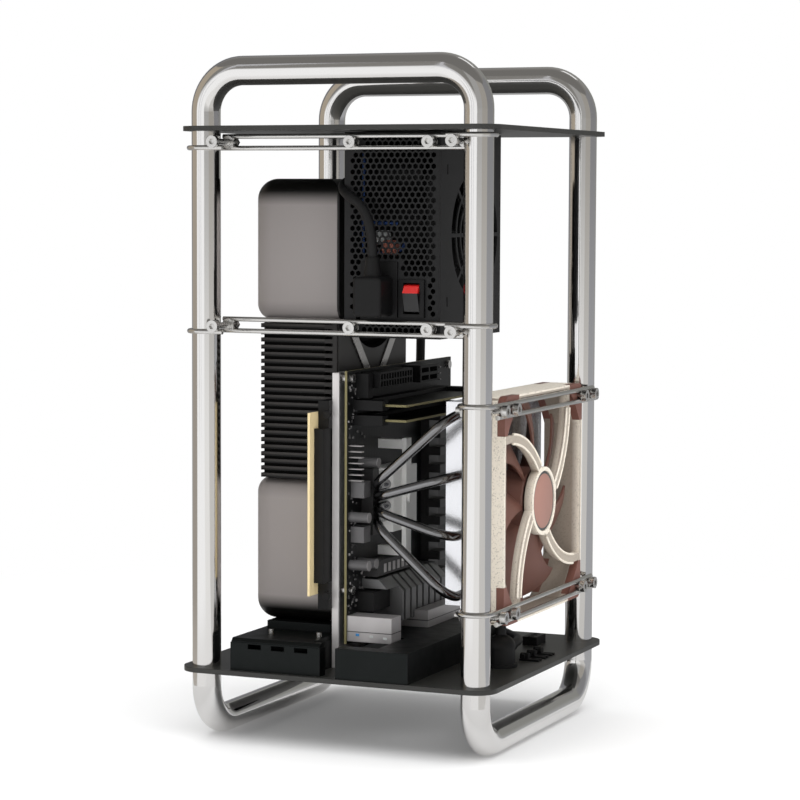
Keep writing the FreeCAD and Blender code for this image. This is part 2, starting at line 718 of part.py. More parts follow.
for i in range(1, len(lead_points) - 1):
    into = lead_points[i - 1] - lead_points[i]
    away = lead_points[i + 1] - lead_points[i]
    half = (math.pi - into.getAngle(away)) / 2
    lead_radii.append(0.45 * min(into.Length, away.Length) / math.tan(half))
print("lead radii", [round(r, 1) for r in lead_radii])
print("lead points", [(round(p.x, 2), round(p.y, 2), round(p.z, 2)) for p in lead_points])
lead_wire = bent_path(lead_points, lead_radii)
print("lead length", round(lead_wire.Length, 1))
lead_ring = Part.Wire(Part.makeCircle(lead_d / 2, lead_points[0], lead_points[1] - lead_points[0]))
save("ac_lead", lead_wire.makePipeShell([lead_ring], True, True))

term_x0 = right - 26.5
term_y0 = 58.0
term_w = 10.0
term_h = 5.5
term_pitch = 5.6
terminal = block(term_x0, term_x0 + term_w, term_y0, term_y0 + 3 * term_pitch, base_top, base_top + term_h)
for i in range(3):
    at = V(term_x0 + term_w / 2, term_y0 + (i + 0.5) * term_pitch, base_top + term_h)
    terminal = terminal.cut(bar(at - V(0, 0, 2.0), at, 2.2))
    terminal = terminal.fuse(bar(at - V(0, 0, 2.0), at - V(0, 0, 0.4), 1.8))
lugs = [terminal]
lug_x0 = right - 7.5
lug_len = 13.0
for i in range(3):
    lug_y = 1.5 + 12.0 * i
    lug = block(lug_x0, lug_x0 + lug_len, lug_y, lug_y + 6.5, base_top, base_top + 1.2)
    lug = lug.cut(block(lug_x0 + 6.5, lug_x0 + lug_len, lug_y + 2.0, lug_y + 4.5, base_top, base_top + 1.2))
    crimp = V(lug_x0, lug_y + 3.25, base_top + 2.4)
    lug = lug.fuse(bar(crimp, crimp + V(5.5, 0, 0), 2.4))
    lug = lug.fuse(block(lug_x0 + 1.5, lug_x0 + 3.5, lug_y, lug_y + 6.5, base_top, base_top + 4.2))
    lugs.append(lug)
save("terminal_block_and_lugs", lugs)


# Graphics card: two shells with a fan each, black fins between them
gpu_x1 = tray_x0 - gpu_gap
gpu_x0 = gpu_x1 - gpu_t
gpu_y1 = gpu_y0 + gpu_depth
gpu_z0 = base_top + gpu_rise
gpu_z1 = gpu_z0 + gpu_len
gpu_mid_y = (gpu_y0 + gpu_y1) / 2
gpu_fan_r = 48.5
gpu_fan_edge = 10.5
gpu_fan_deep = 25.0
gpu_low_h = 91.0
gpu_high_h = 88.8
gpu_hub_r = 17.0
fin_z0 = gpu_z0 + gpu_low_h
fin_z1 = gpu_z1 - gpu_high_h
fan_low_z = gpu_z0 + gpu_fan_edge + gpu_fan_r
fan_high_z = gpu_z1 - gpu_fan_edge - gpu_fan_r
face_t = 0.8
face_side = 24.0
face_end = 8.0
face_x1 = gpu_x1 - 1.5


def gpu_shell(z0, z1, top, inset):
    low = z0 + inset
    high = z1 - inset
    shell = block(gpu_x0 + inset, gpu_x1, gpu_y0 + inset, gpu_y1 - inset, low, high)
    outer_z = high if top else low
    inner_z = low if top else high
    outer_edges = []
    inner_edges = []
    for edge in shell.Edges:
        box = edge.BoundBox
        if box.ZLength < 0.01 and abs(box.ZMin - outer_z) < 0.01:
            outer_edges.append(edge)
        if box.XLength < 0.01 and box.YLength < 0.01 and box.XMin < gpu_x0 + inset + 0.01:
            outer_edges.append(edge)
    shell = shell.makeFillet(gpu_round - inset, outer_edges)
    for edge in shell.Edges:
        box = edge.BoundBox
        if box.ZLength < 0.01 and abs(box.ZMin - inner_z) < 0.01 and box.XMin < gpu_x1 - 0.01:
            inner_edges.append(edge)
    return shell.makeFillet(gpu_inner_round - inset, inner_edges)


def face_plate(z0, z1, top):
    skin = gpu_shell(z0, z1, top, 0).cut(gpu_shell(z0, z1, top, face_t))
    low = z0 if top else z0 + face_end
    high = z1 - face_end if top else z1
    return skin.common(block(gpu_x0, face_x1, gpu_y0, gpu_y0 + face_side, low, high))


def fan_bore(z, facing):
    mouth = gpu_x1 if facing > 0 else gpu_x0
    return bar(V(mouth, gpu_mid_y, z), V(mouth - facing * gpu_fan_deep, gpu_mid_y, z), gpu_fan_r)


def gpu_pocket(shell, z, facing):
    mouth = gpu_x1 if facing > 0 else gpu_x0
    floor = mouth - facing * gpu_fan_deep
    far = gpu_x0 if facing > 0 else gpu_x1
    shell = shell.cut(fan_bore(z, facing))
    for i in range(7):
        slot_z = z + (i - 3) * 8.0
        half = math.sqrt((gpu_fan_r - 4.0) ** 2 - (slot_z - z) ** 2)
        near = gpu_hub_r + 1.0
        for (y0, y1) in ((gpu_mid_y - half, gpu_mid_y - near), (gpu_mid_y + near, gpu_mid_y + half)):
            shell = shell.cut(block(min(floor, far), max(floor, far), y0, y1, slot_z - 2.5, slot_z + 2.5))
    boss = V(floor, gpu_mid_y, z)
    shell = shell.fuse(bar(boss, boss + V(facing * 3.0, 0, 0), gpu_hub_r - 2.0))
    return shell.fuse(bar(boss, boss + V(facing * 13.0, 0, 0), shaft_d / 2))


# Edge tab of the card's board, with the slot for it
tab_x0 = gpu_x1 - 5.6
tab_z0 = gpu_z0 + 32.0
tab_len = 90.0
tab_in = 5.0
tab_out = 9.0
tab_cut = block(tab_x0 - fit / 2, tab_x0 + board_t + fit / 2, gpu_y0, gpu_y0 + tab_in + fit,
                tab_z0 - fit, tab_z0 + tab_len + fit)
high_face = face_plate(fin_z1, gpu_z1, True).cut(fan_bore(fan_high_z, 1))
low_face = face_plate(gpu_z0, fin_z0, False).cut(fan_bore(fan_low_z, -1))
high_shell = gpu_pocket(gpu_shell(fin_z1, gpu_z1, True, 0), fan_high_z, 1).cut(high_face)
save("gpu_shell_top", high_shell)
low_shell = gpu_pocket(gpu_shell(gpu_z0, fin_z0, False, 0), fan_low_z, -1).cut(low_face)
save("gpu_shell_bottom", low_shell.cut(tab_cut))
save("gpu_face_plates", [high_face, low_face.cut(tab_cut)])

fin_x0 = gpu_x0 + 7.0
fin_spine = 3.0
fin_count = 22
fin_share = 0.58
backplate_t = 1.5
fin_x1 = gpu_x1 - backplate_t
fin_pitch = (fin_z1 - fin_z0) / fin_count
comb = [V(fin_x1, gpu_y0, fin_z0)]
for i in range(fin_count):
    low = fin_z0 + i * fin_pitch
    comb.append(V(fin_x0, gpu_y0, low))
    comb.append(V(fin_x0, gpu_y0, low + fin_pitch * fin_share))
    if i < fin_count - 1:
        comb.append(V(fin_x1 - fin_spine, gpu_y0, low + fin_pitch * fin_share))
        comb.append(V(fin_x1 - fin_spine, gpu_y0, low + fin_pitch))
top_tooth = fin_z1 - fin_pitch * (1 - fin_share)
comb.append(V(fin_x1 - fin_spine, gpu_y0, top_tooth))
comb.append(V(fin_x1 - fin_spine, gpu_y0, fin_z1))
comb.append(V(fin_x1, gpu_y0, fin_z1))
fin_core_in = 3.0
fin_core_y = 7.0
fins = prism(comb, V(0, gpu_depth - 4.0, 0))
core = block(fin_x0 + fin_core_in, fin_x1, gpu_y0 + fin_core_y, gpu_y1 - 4.0 - fin_core_y, fin_z0, fin_z1)
fins = fins.fuse(core).cut(tab_cut)
save("gpu_board", block(tab_x0, tab_x0 + board_t, gpu_y0 - tab_out, gpu_y0 + tab_in,
                        tab_z0, tab_z0 + tab_len))

trim_t = 0.8
backplate = block(fin_x1, gpu_x1 - trim_t, gpu_y0 + 1.0, gpu_y1 - 4.0, fin_z0, fin_z1)
fins = fins.fuse(backplate).removeSplitter()
fins = fins.cut(fan_bore(fan_high_z, 1)).cut(fan_bore(fan_low_z, -1))
save("gpu_fins", fins)
trim_w = 7.0
trim_reach_y = 46.0
fin_mid_z = (fin_z0 + fin_z1) / 2
trims = []
for side in (-1, 1):
    outer = V(gpu_x1 - trim_t, gpu_mid_y + side * trim_reach_y, fin_z1)
    inner = V(gpu_x1 - trim_t, gpu_mid_y, fin_mid_z + 8.0)
    corners = [outer, outer + V(0, -side * trim_w * 1.4, 0), inner + V(0, 0, 2.0), inner + V(0, 0, -8.0)]
    arm = prism(corners, V(trim_t, 0, 0))
    trims.append(arm)
    trims.append(turned(arm, V(0, gpu_mid_y, fin_mid_z), V(1, 0, 0), 180))
trim = trims[0].fuse(trims[1:]).removeSplitter()
trim = trim.cut(fan_bore(fan_high_z, 1))
save("gpu_trim", trim)

gpu_rotor_t = 14.0
gpu_rotor = rotor(gpu_hub_r, gpu_fan_r - 1.5, gpu_rotor_t, 11, 17.0, 50, 1.4, shaft_hole_d, 10.0)
save("gpu_fan_top", place(gpu_rotor, gpu_x1 - gpu_fan_deep + 4.0 + gpu_rotor_t, gpu_mid_y, fan_high_z, True))
low_rotor_x = gpu_x0 + gpu_fan_deep - 4.0 - gpu_rotor_t
save("gpu_fan_bottom", place(gpu_rotor, low_rotor_x, gpu_mid_y, fan_low_z, False))

foot_x0 = ped_x0 + 5.0
foot_x1 = gpu_x1 - 5.0
foot = block(foot_x0, foot_x1, gpu_y0 - 1.0, ped_back - 2.0, lid_top, gpu_z0)
foot = foot.cut(block(foot_x0 + ped_sheet, foot_x1 - ped_sheet, gpu_y0 - 1.0 + ped_sheet,
                      ped_back - 2.0 - ped_sheet, lid_top, gpu_z0 - ped_sheet))
save("gpu_bracket", foot)


# Riser: upright board with the slot that takes the card's edge tab
riser_x0 = tab_x0 - 2.8
riser_z0 = tab_z0 - 10.5
riser_len = 113.5
riser_y0 = gpu_y0 - 28.0
slot_x0 = riser_x0 + board_t
riser_y1 = gpu_y0 - 2.0
slot_x1 = tab_x0 + board_t + 3.8
save("riser_board", block(riser_x0, slot_x0, riser_y0, riser_y1, riser_z0, riser_z0 + riser_len))
slot = block(slot_x0, slot_x1, riser_y1 - 20.0, riser_y1, tab_z0 - 3.0, tab_z0 + tab_len + 3.0)
slot = slot.cut(block(tab_x0 - fit, tab_x0 + board_t + fit, gpu_y0 - tab_out - 0.5, riser_y1,
                      tab_z0 - 1.0, tab_z0 + tab_len + 1.0))
clips = [slot]
clip_h = 17.0
for z in (tab_z0 - 3.0 - clip_h, tab_z0 + tab_len + 3.0):
    clip = block(slot_x0, tray_x0, riser_y1 - 14.0, riser_y1, z, z + clip_h)
    clip = clip.fuse(block(tray_x0 - ped_sheet, tray_x0, riser_y1 - 1.0, gpu_y0 - 0.3, z, z + clip_h))
    at = V(slot_x1, riser_y1 - 14.0, z + clip_h / 2)
    clip = clip.fuse(bar(at, at - V(0, 2.0, 0), 2.6))
    clips.append(clip)
save("riser_slot_and_clips", clips)


# Main board on its tray
tray_x1 = tray_x0 + tray_t
board_x0 = tray_x1 + standoff_len
board_x1 = board_x0 + board_t
board_y1 = board_y0 + board_size
board_z0 = base_top + board_rise
board_z1 = board_z0 + board_size
tray_top = board_z1 - 1.3
rim_w = 4.5
rim_t = 1.5
hole_y = [board_y0 + 6.35, board_y0 + 6.35 + 157.48]
hole_at = [(hole_y[0], board_z0 + 33.02), (hole_y[0], board_z0 + 165.1),
           (hole_y[1], board_z0 + 10.16), (hole_y[1], board_z0 + 165.1)]
holder = block(tray_x0, tray_x1, board_y0, board_y1, base_top, tray_top)
holder = holder.fuse(block(tray_x0, tray_x0 + rim_w, board_y0, board_y0 + rim_t, base_top, tray_top))
holder = holder.cut(block(tray_x0, tray_x1, notch_y0, notch_y1, base_top, base_top + notch_h))
standoff_d = 6.0
board_screw_d = 2.9
pcb = block(board_x0, board_x1, board_y0, board_y1, board_z0, board_z1)
standoffs = []
board_screws = []
for (y, z) in hole_at:
    pcb = pcb.cut(bar(V(board_x0, y, z), V(board_x1, y, z), board_screw_d / 2 + 0.2))
    post = bar(V(tray_x1, y, z), V(board_x0, y, z), standoff_d / 2)
    standoffs.append(post.cut(bar(V(board_x0 - 5.0, y, z), V(board_x0, y, z), board_screw_d / 2 + fit / 2)))
    post = bar(V(board_x0 - 4.5, y, z), V(board_x1, y, z), board_screw_d / 2)
    board_screws.append(post.fuse(bar(V(board_x1, y, z), V(board_x1 + 2.0, y, z), 2.8)))
save("board_tray", holder)
save("standoffs_and_screws", standoffs + board_screws)
save("motherboard", pcb)


def on_board(height, y0, y1, z0, z1):
    return block(board_x1, board_x1 + height, board_y0 + y0, board_y0 + y1, board_z0 + z0, board_z0 + z1)


# Sockets: 24-way power socket, four drive sockets, port block, then two memory sockets
power_y0 = 21.0
power_len = 52.0
sockets = on_board(13.0, power_y0, power_y0 + power_len, 158.5, 168.5)
for i in range(12):
    for j in range(2):
        y = power_y0 + 1.6 + i * 4.2
        z = 159.3 + j * 4.4
        cell = on_board(13.0, y, y + 3.0, z, z + 3.4)
        cell.translate(V(4.0, 0, 0))
        sockets = sockets.cut(cell)
drive = on_board(13.0, 86.0, 116.0, 158.0, 169.0)
for i in range(2):
    for j in range(2):
        port = on_board(13.0, 88.0 + i * 14.0, 100.0 + i * 14.0, 159.2 + j * 5.0, 162.2 + j * 5.0)
        port.translate(V(6.0, 0, 0))
        drive = drive.cut(port)
strip = on_board(9.0, 12.0, 19.0, 152.6, 168.0)
board_sockets = [sockets, drive, strip, on_board(12.0, 15.0, 40.0, 19.0, 31.0)]

memory_pitch = 9.4
memory_z = 148.5
memory_y0 = 9.0
memory_len = 142.0
memory_half = 3.2
stick_t = 1.4
stick_h = 31.0
sticks = []
for i in range(2):
    z = memory_z - i * memory_pitch
    socket = on_board(8.0, memory_y0, memory_y0 + memory_len, z - memory_half, z + memory_half)
    for y in (memory_y0, memory_y0 + memory_len - 9.0):
        socket = socket.fuse(on_board(20.0, y, y + 9.0, z - memory_half, z + memory_half))
    groove = on_board(40.0, memory_y0 + 4.4, memory_y0 + memory_len - 4.4,
                      z - stick_t / 2 - fit, z + stick_t / 2 + fit)
    groove.translate(V(3.0, 0, 0))
    board_sockets.append(socket.cut(groove))
    stick = on_board(stick_h, memory_y0 + 4.5, memory_y0 + memory_len - 4.5, z - stick_t / 2, z + stick_t / 2)
    stick.translate(V(3.0, 0, 0))
    sticks.append(stick)
save("board_sockets", board_sockets)
save("memory_sticks", sticks)

# Small parts on the board: chokes, capacitors and header pins
small = []
for z in (91.0, 63.0):
    small.append(on_board(9.0, 6.0, 16.0, z, z + 10.0))
for (y, z) in ((20.0, 112.0), (5.5, 79.0), (5.5, 49.0), (17.0, 49.0)):
    at = V(board_x1, board_y0 + y, board_z0 + z)
    small.append(bar(at, at + V(13.0, 0, 0), 3.2))
pins = []
for i in range(7):
    for y in (3.0, 5.54):
        at = V(board_x1, board_y0 + y, board_z0 + 102.0 + i * 3.6)
        pins.append(bar(at, at + V(9.0, 0, 0), 0.45))
for i in range(3):
    at = V(board_x1, board_y0 + 123.0, board_z0 + 158.0 + i * 4.0)
    pins.append(bar(at, at + V(12.0, 0, 0), 0.45))
save("header_pins", pins)

# Heat sinks on the board: grey finned one above the ports, black bar, black one at the socket
sink_h = 20.0
sink_z0 = 10.0
sink = on_board(sink_h, 24.0, 116.0, sink_z0, 38.0)
sink = sink.cut(on_board(sink_h, 0.0, 42.0, 0.0, 32.0))
for i in range(7):
    groove = on_board(14.0, 44.0 + i * 10.0, 47.0 + i * 10.0, 10.0, 38.0)
    groove.translate(V(8.0, 0, 0))
    sink = sink.cut(groove)
slope = 9.0
slope_x = board_x1 + sink_h
slope_y = board_y0 + 24.0
slope_z = board_z0 + 38.0
sink = sink.cut(prism([V(slope_x - slope, slope_y, slope_z), V(slope_x, slope_y, slope_z),
                       V(slope_x, slope_y, slope_z - slope)], V(0, 92.0, 0)))
bar_sink = on_board(10.0, 24.0, 80.0, 39.5, 49.0)
save("board_heatsink", sink)
dark_sink = on_board(8.0, 22.0, 31.0, 66.0, 108.0)
comb_sink = on_board(14.0, 118.0, 134.0, 28.0, 134.0)
for i in range(9):
    groove = on_board(10.0, 118.0, 134.0, 33.0 + i * 11.5, 39.0 + i * 11.5)
    groove.translate(V(6.0, 0, 0))
    comb_sink = comb_sink.cut(groove)
save("board_small_parts", small + [bar_sink, dark_sink, comb_sink])

port = on_board(port_deep, port_y0 - board_y0, port_y1 - board_y0, 1.8, 17.8)
port = port.cut(on_board(port_deep - 4.0, 3.0, 14.0, 0.0, 10.0).translated(V(2.0, 0, 0)))
wide_z0 = io_top + 0.2 - board_z0
wide_port = on_board(port_deep, 60.0, 115.0, wide_z0, wide_z0 + 11.0)
wide_port = wide_port.cut(on_board(sink_h + 0.5, 59.0, 116.0, sink_z0 - 0.5, 40.0))
wide_port = wide_port.cut(on_board(port_deep - 4.0, 62.0, 113.0, 0.0, wide_z0 + 4.0).translated(V(2.0, 0, 0)))
save("io_ports", [port, wide_port])


# Processor cooler: base block, bracket bar, four heat pipes, fin stack behind the fan
cooler_y = board_y0 + 51.0
cooler_z = fan_z
base_h = 17.0
pipe_d = 6.0
pipe_pitch = 6.8
spread = 37.5
stack_x0 = 49.0
fan_x1 = right + tube_r
fan_x0 = fan_x1 - fan_t
stack_x1 = fan_x0 - 2.5
stack_y0 = -40.0
stack_y1 = 70.0
stack_h = 127.0
pipe_x = board_x1 + 12.5
pipe_stack_x = (stack_x0 + stack_x1) / 2
pipe_bend = 14.0
pipe_front = -62.0
base_block = block(board_x1, board_x1 + base_h, cooler_y - 18.0, cooler_y + 20.0,
                   cooler_z - 20.0, cooler_z + 20.0)
pipe_shapes = []
for i in range(4):
    step = i - 1.5
    start = V(pipe_x, cooler_y + 16.0, cooler_z + step * pipe_pitch)
    end = V(pipe_stack_x, stack_y1 - 8.0, cooler_z + step * spread)
    points = [start, V(start.x, pipe_front, start.z), V(end.x, pipe_front, end.z), end]
    pipe_shapes.append(pipe(points, [pipe_bend, pipe_bend], pipe_d / 2))
    hole = bar(start, V(start.x, pipe_front, start.z), pipe_d / 2 + fit / 2)
    base_block = base_block.cut(hole)
save("cooler_heat_pipes", pipe_shapes)
clamp_top = board_x1 + base_h
cross = block(clamp_top, clamp_top + 3.0, cooler_y - 4.0, cooler_y + 4.0, cooler_z - 40.0, cooler_z + 38.0)
for z in (cooler_z - 37.0, cooler_z + 31.0):
    cross = cross.fuse(block(board_x1, clamp_top, cooler_y - 3.0, cooler_y + 3.0, z, z + 6.0))
cross = cross.fuse(bar(V(clamp_top + 3.0, cooler_y, cooler_z), V(clamp_top + 5.0, cooler_y, cooler_z), 3.4))
save("cooler_base_and_bracket", [base_block, cross])

stack_fins = 44
stack_pitch = (stack_y1 - stack_y0) / stack_fins
spine = 1.2
comb = []
for i in range(stack_fins):
    y = stack_y0 + i * stack_pitch
    comb.append(V(stack_x0, y, 0))
    comb.append(V(stack_x0, y + stack_pitch * 0.35, 0))
    if i < stack_fins - 1:
        comb.append(V(pipe_stack_x - spine / 2, y + stack_pitch * 0.35, 0))
        comb.append(V(pipe_stack_x - spine / 2, y + stack_pitch, 0))
for i in reversed(range(stack_fins)):
    y = stack_y0 + i * stack_pitch
    comb.append(V(stack_x1, y + stack_pitch * 0.35, 0))
    comb.append(V(stack_x1, y, 0))
    if i > 0:
        comb.append(V(pipe_stack_x + spine / 2, y, 0))
        comb.append(V(pipe_stack_x + spine / 2, y - stack_pitch * 0.65, 0))
stack = prism(comb, V(0, 0, stack_h))
stack.translate(V(0, 0, cooler_z - stack_h / 2))
for i in range(4):
    z = cooler_z + (i - 1.5) * spread
    bore = bar(V(pipe_stack_x, stack_y0 - 1.0, z), V(pipe_stack_x, stack_y1 - 7.5, z), pipe_d / 2 + fit / 2)
    stack = stack.cut(bore)
save("cooler_fin_stack", stack)


# Case fan: thin-walled square frame, hub on four curved arms, corner pads, rotor
fan_half = fan_size / 2
fan_open_half = fan_half - 2.5
fan_open_r = 80.0
fan_corner = 6.0
hub_r = 21.5
hub_t = 3.0
arm_t = 5.5
arm_w = 4.6
pad_w = 24.0
pad_t = 5.0
tip_r = fan_open_half - 1.5
fan_shaft_l = 10.0
fan_open = block(fan_x0, fan_x1, -fan_open_half, fan_open_half, fan_z - fan_open_half, fan_z + fan_open_half)
fan_open = fan_open.common(bar(V(fan_x0, 0, fan_z), V(fan_x1, 0, fan_z), fan_open_r))
fan_frame = block(fan_x0, fan_x1, -fan_half, fan_half, fan_z - fan_half, fan_z + fan_half)
fan_frame = round_edges(fan_frame, fan_corner, V(1, 0, 0))
fan_outer = fan_frame.copy()
fan_frame = fan_frame.cut(fan_open)


def fan_arm():
    start = (-6.0, hub_r - 1.8)
    mid = (-33.0, 38.5)
    end = (-fan_open_half - 1.0, 43.0)
    arc = Part.Arc(V(0, start[0], start[1]), V(0, mid[0], mid[1]), V(0, end[0], end[1])).toShape()
    centre = arc.Curve.Center
    radius = arc.Curve.Radius
    edges = []
    ends = []
    for r in (radius - arm_w / 2, radius + arm_w / 2):
        pts = []
        for p in (start, mid, end):
            out = (V(0, p[0], p[1]) - centre).normalize()
            pts.append(centre + out * r)
        edges.append(Part.Arc(pts[0], pts[1], pts[2]).toShape())
        ends.append((pts[0], pts[2]))
    edges.append(Part.makeLine(ends[0][0], ends[1][0]))
    edges.append(Part.makeLine(ends[0][1], ends[1][1]))
    face = Part.Face(Part.Wire(Part.__sortEdges__(edges)))
    arm = face.extrude(V(arm_t, 0, 0))
    arm.translate(V(fan_x1 - arm_t, 0, fan_z))
    return arm


arms = []
for i in range(4):
    arms.append(turned(fan_arm(), V(0, 0, fan_z), V(1, 0, 0), 90 * i))
hub = bar(V(fan_x1 - hub_t - 1.0, 0, fan_z), V(fan_x1 - 1.0, 0, fan_z), hub_r)
hub = hub.fuse(ring(V(fan_x1 - arm_t, 0, fan_z), V(1, 0, 0), arm_t, 2 * hub_r, 2 * hub_r - 5.0))
hub_back = fan_x1 - hub_t - 1.0
hub = hub.fuse(bar(V(hub_back - fan_shaft_l, 0, fan_z), V(hub_back, 0, fan_z), shaft_d / 2))
fan_frame = fan_frame.fuse(arms + [hub])
pads = []
for y in (-1, 1):
    for z in (-1, 1):
        hole_at_y = y * fan_hole / 2
        hole_at_z = fan_z + z * fan_hole / 2
        for x in (fan_x0, fan_x1 - pad_t):
            y_in = y * (fan_half - pad_w)
            z_in = fan_z + z * (fan_half - pad_w)
            y_out = y * fan_half
            z_out = fan_z + z * fan_half
            cube = block(x, x + pad_t, min(y_in, y_out), max(y_in, y_out), min(z_in, z_out), max(z_in, z_out))
            cube = cube.common(fan_outer).cut(fan_open)
            fan_frame = fan_frame.cut(cube)
            hole = bar(V(x, hole_at_y, hole_at_z), V(x + pad_t, hole_at_y, hole_at_z), bolt_d / 2 + fit)
            pads.append(cube.cut(hole))
        fan_frame = fan_frame.cut(bar(V(fan_x0, hole_at_y, hole_at_z), V(fan_x1, hole_at_y, hole_at_z),
                                      bolt_d / 2 + fit))
save("fan_frame", fan_frame)
save("fan_pads", pads)
rotor_t = fan_t - arm_t - fan_gap - 2.0
big_rotor = rotor(21.0, tip_r, rotor_t, 7, 40.0, 66, 1.8, shaft_hole_d, fan_shaft_l)
save("fan_rotor", place(big_rotor, fan_x0 + 2.0, 0, fan_z, False))
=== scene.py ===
"""Looks of an open mini-itx computer case in a polished tube frame, laid out as an add-on."""
import math
import random

import bmesh
import bpy
from bpy.props import FloatProperty, FloatVectorProperty, PointerProperty
from mathutils import Matrix, Vector


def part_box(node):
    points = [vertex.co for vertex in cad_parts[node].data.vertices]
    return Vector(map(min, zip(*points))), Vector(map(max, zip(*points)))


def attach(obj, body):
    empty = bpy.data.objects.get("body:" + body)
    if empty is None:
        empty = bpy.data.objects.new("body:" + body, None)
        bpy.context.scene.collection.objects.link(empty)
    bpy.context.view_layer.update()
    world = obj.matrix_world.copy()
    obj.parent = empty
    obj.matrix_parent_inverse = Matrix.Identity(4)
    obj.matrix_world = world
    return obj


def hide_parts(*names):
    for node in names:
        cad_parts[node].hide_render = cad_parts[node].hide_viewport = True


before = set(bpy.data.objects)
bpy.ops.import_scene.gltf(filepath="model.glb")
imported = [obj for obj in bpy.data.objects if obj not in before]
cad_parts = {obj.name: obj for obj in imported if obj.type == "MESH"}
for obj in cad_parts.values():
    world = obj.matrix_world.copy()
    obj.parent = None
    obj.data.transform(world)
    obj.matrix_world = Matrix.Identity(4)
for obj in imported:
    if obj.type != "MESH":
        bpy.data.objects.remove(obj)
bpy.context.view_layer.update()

bl_info = {
    "name": "Open tube frame computer case",
    "version": (1, 0, 0),
    "blender": (4, 5, 0),
    "location": "View3D > Sidebar > Case",
    "description": "Finishes, lead and stage of an open mini-itx computer case",
    "category": "Object",
}

MM = 0.001
CASE = "case"

# Camera: its place in millimetres, and its yaw, pitch and roll in degrees.
PHOTO_PIXELS = 800
FOCAL_PIXELS = 2629.8
SENSOR = 36.0
CAMERA_PLACE = (662.2, -1545.8, 338.6)
CAMERA_TURN = (23.17, 4.39, 0.243)
CAMERA_REACH = 20.0

# Sockets of a node that mixes colours: its two tones and its result.
FIRST = 6
SECOND = 7
MIXED = 2

# Finishes: specular levels of dull and matt surfaces, the length in which one tone gives way to another, how
# squarely a board's face lies to its axis, and the width of drawn lines over their length.
DULL = 0.28
MATT = 0.1
SHARP = 0.1 * MM
SQUARE_ON = 0.6
TUBE_LINE = 1.0 / 40
ROLL_LINE = 0.06

# Mains lead: its route in millimetres goes up from the plug, back over the card, down behind the board tray,
# and through the tray's notch to the inlet on the base.
LEAD_ROUTE = (
    (21, -90.75, 303.2), (21, -90.75, 330.2), (-6.5, -84, 344.6), (-8.5, -46, 352.6),
    (-8.5, 6, 342.6), (-8.5, 54, 306.6), (-20, 84, 257.6), (-22, 86, 196.5),
    (-22, 75.5, 136.5), (-22, 71.5, 96.5), (-22, 72, 71.5), (-5, 71.5, 54.5),
    (18, 71.5, 54.5), (44, 65.5, 54.5), (62, 44, 54.5), (76, 24, 55.5), (76, 6, 55.5),
)

# Power supply: the share of the rocker below its ridge, then the wires and coils behind the end panel, in
# millimetres. A coil has a name, a finish, a colour, its turns, and where it starts on X and lies on Y and Z.
ROCKER_RIDGE = 0.68
WIRE_RADIUS = 1.0
SUPPLY_WIRES = (
    ((5.0, -68, 366), (5.4, -69, 350), (4.6, -68, 332), (5.2, -69, 316), (5.0, -68, 305)),
    ((9.0, -70, 306), (14.0, -70, 305), (19.0, -66, 305), (32.0, -69, 306), (33.0, -69, 312)),
    ((9.0, -66, 324), (14.0, -68, 323), (22.0, -68, 323.5), (27.0, -66, 323)),
)
COILS = (
    ("supply_coil_taped", "polyester_tape_wound", "tape", 7, (14.0, -68.0, 314.5)),
    ("supply_coil_bare", "copper_wire_lacquered", "copper", 8, (20.5, -72.0, 308.6)),
)
COIL_RADIUS = 4.6
COIL_CORE = 3.4
COIL_GROOVE = 4.2
COIL_PITCH = 1.1
COIL_RISE = 0.3
COIL_FALL = 0.8
COIL_STEPS = 32

# Graphics card: the fins, the share of their pitch that they fill, the shares where a fin's front turns from
# painted shade to painted highlight, and the ground between the fins.
FIN_COUNT = 22
FIN_SHARE = 0.58
FIN_PAINTED_SHADE = 0.14
FIN_PAINTED_HIGHLIGHT = 0.34
ROOT_INSET = 1.5 * MM
ROOT_THICK = 5.8 * MM
ROOT_SIDE = 2.4 * MM
ROOT_RIGHT = -25.0 * MM
ROOT_BACK = 6.0 * MM
ROOT_FAN = -43.0 * MM
ROOT_EASE = 0.1 * MM
FAN_CLEAR = 4.0 * MM

# Main board: cans and blocks, ports with their tongues, small chips in ranges of millimetres, slats on a bar.
CAN_HEIGHT = 13.0 * MM
CAN_RIM = 0.4 * MM
PART_ROW = -51.0 * MM
PORT_SEAM = 70.0 * MM
SEAM_HALF = 0.3 * MM
PORT_TONGUES = ((2.6 * MM, 68.2 * MM), (11.9 * MM, 67.6 * MM), (21.2 * MM, 66.9 * MM))
TONGUE_BLUE = 6.0 * MM
TONGUE_HALF = (1.2 * MM, 0.8 * MM)
TONGUE_OUT = 0.3 * MM
TONGUE_EASE = 0.2 * MM
CHIP_SEED = 7
CHIP_COUNT = 170
CHIP_IN = (0.8, 26.0)
CHIP_UP = (19.0, 168.0)
CHIP_WIDE = (0.8, 1.9)
CHIP_TALL = (0.9, 2.0)
CHIP_THICK = (0.5, 1.1)
CHIP_SKIP = (160.0 * MM, 188.0 * MM)
CHIP_EASE = 0.12 * MM
SLAT_COUNT = 6
SLAT_START = (5.3 * MM, -36.0 * MM, 103.0 * MM)
SLAT_PITCH = 7.0 * MM
SLAT_THICK = 0.5 * MM
SLAT_WIDE = 3.6 * MM
SLAT_TALL = 5.5 * MM
SLAT_EASE = 0.15 * MM
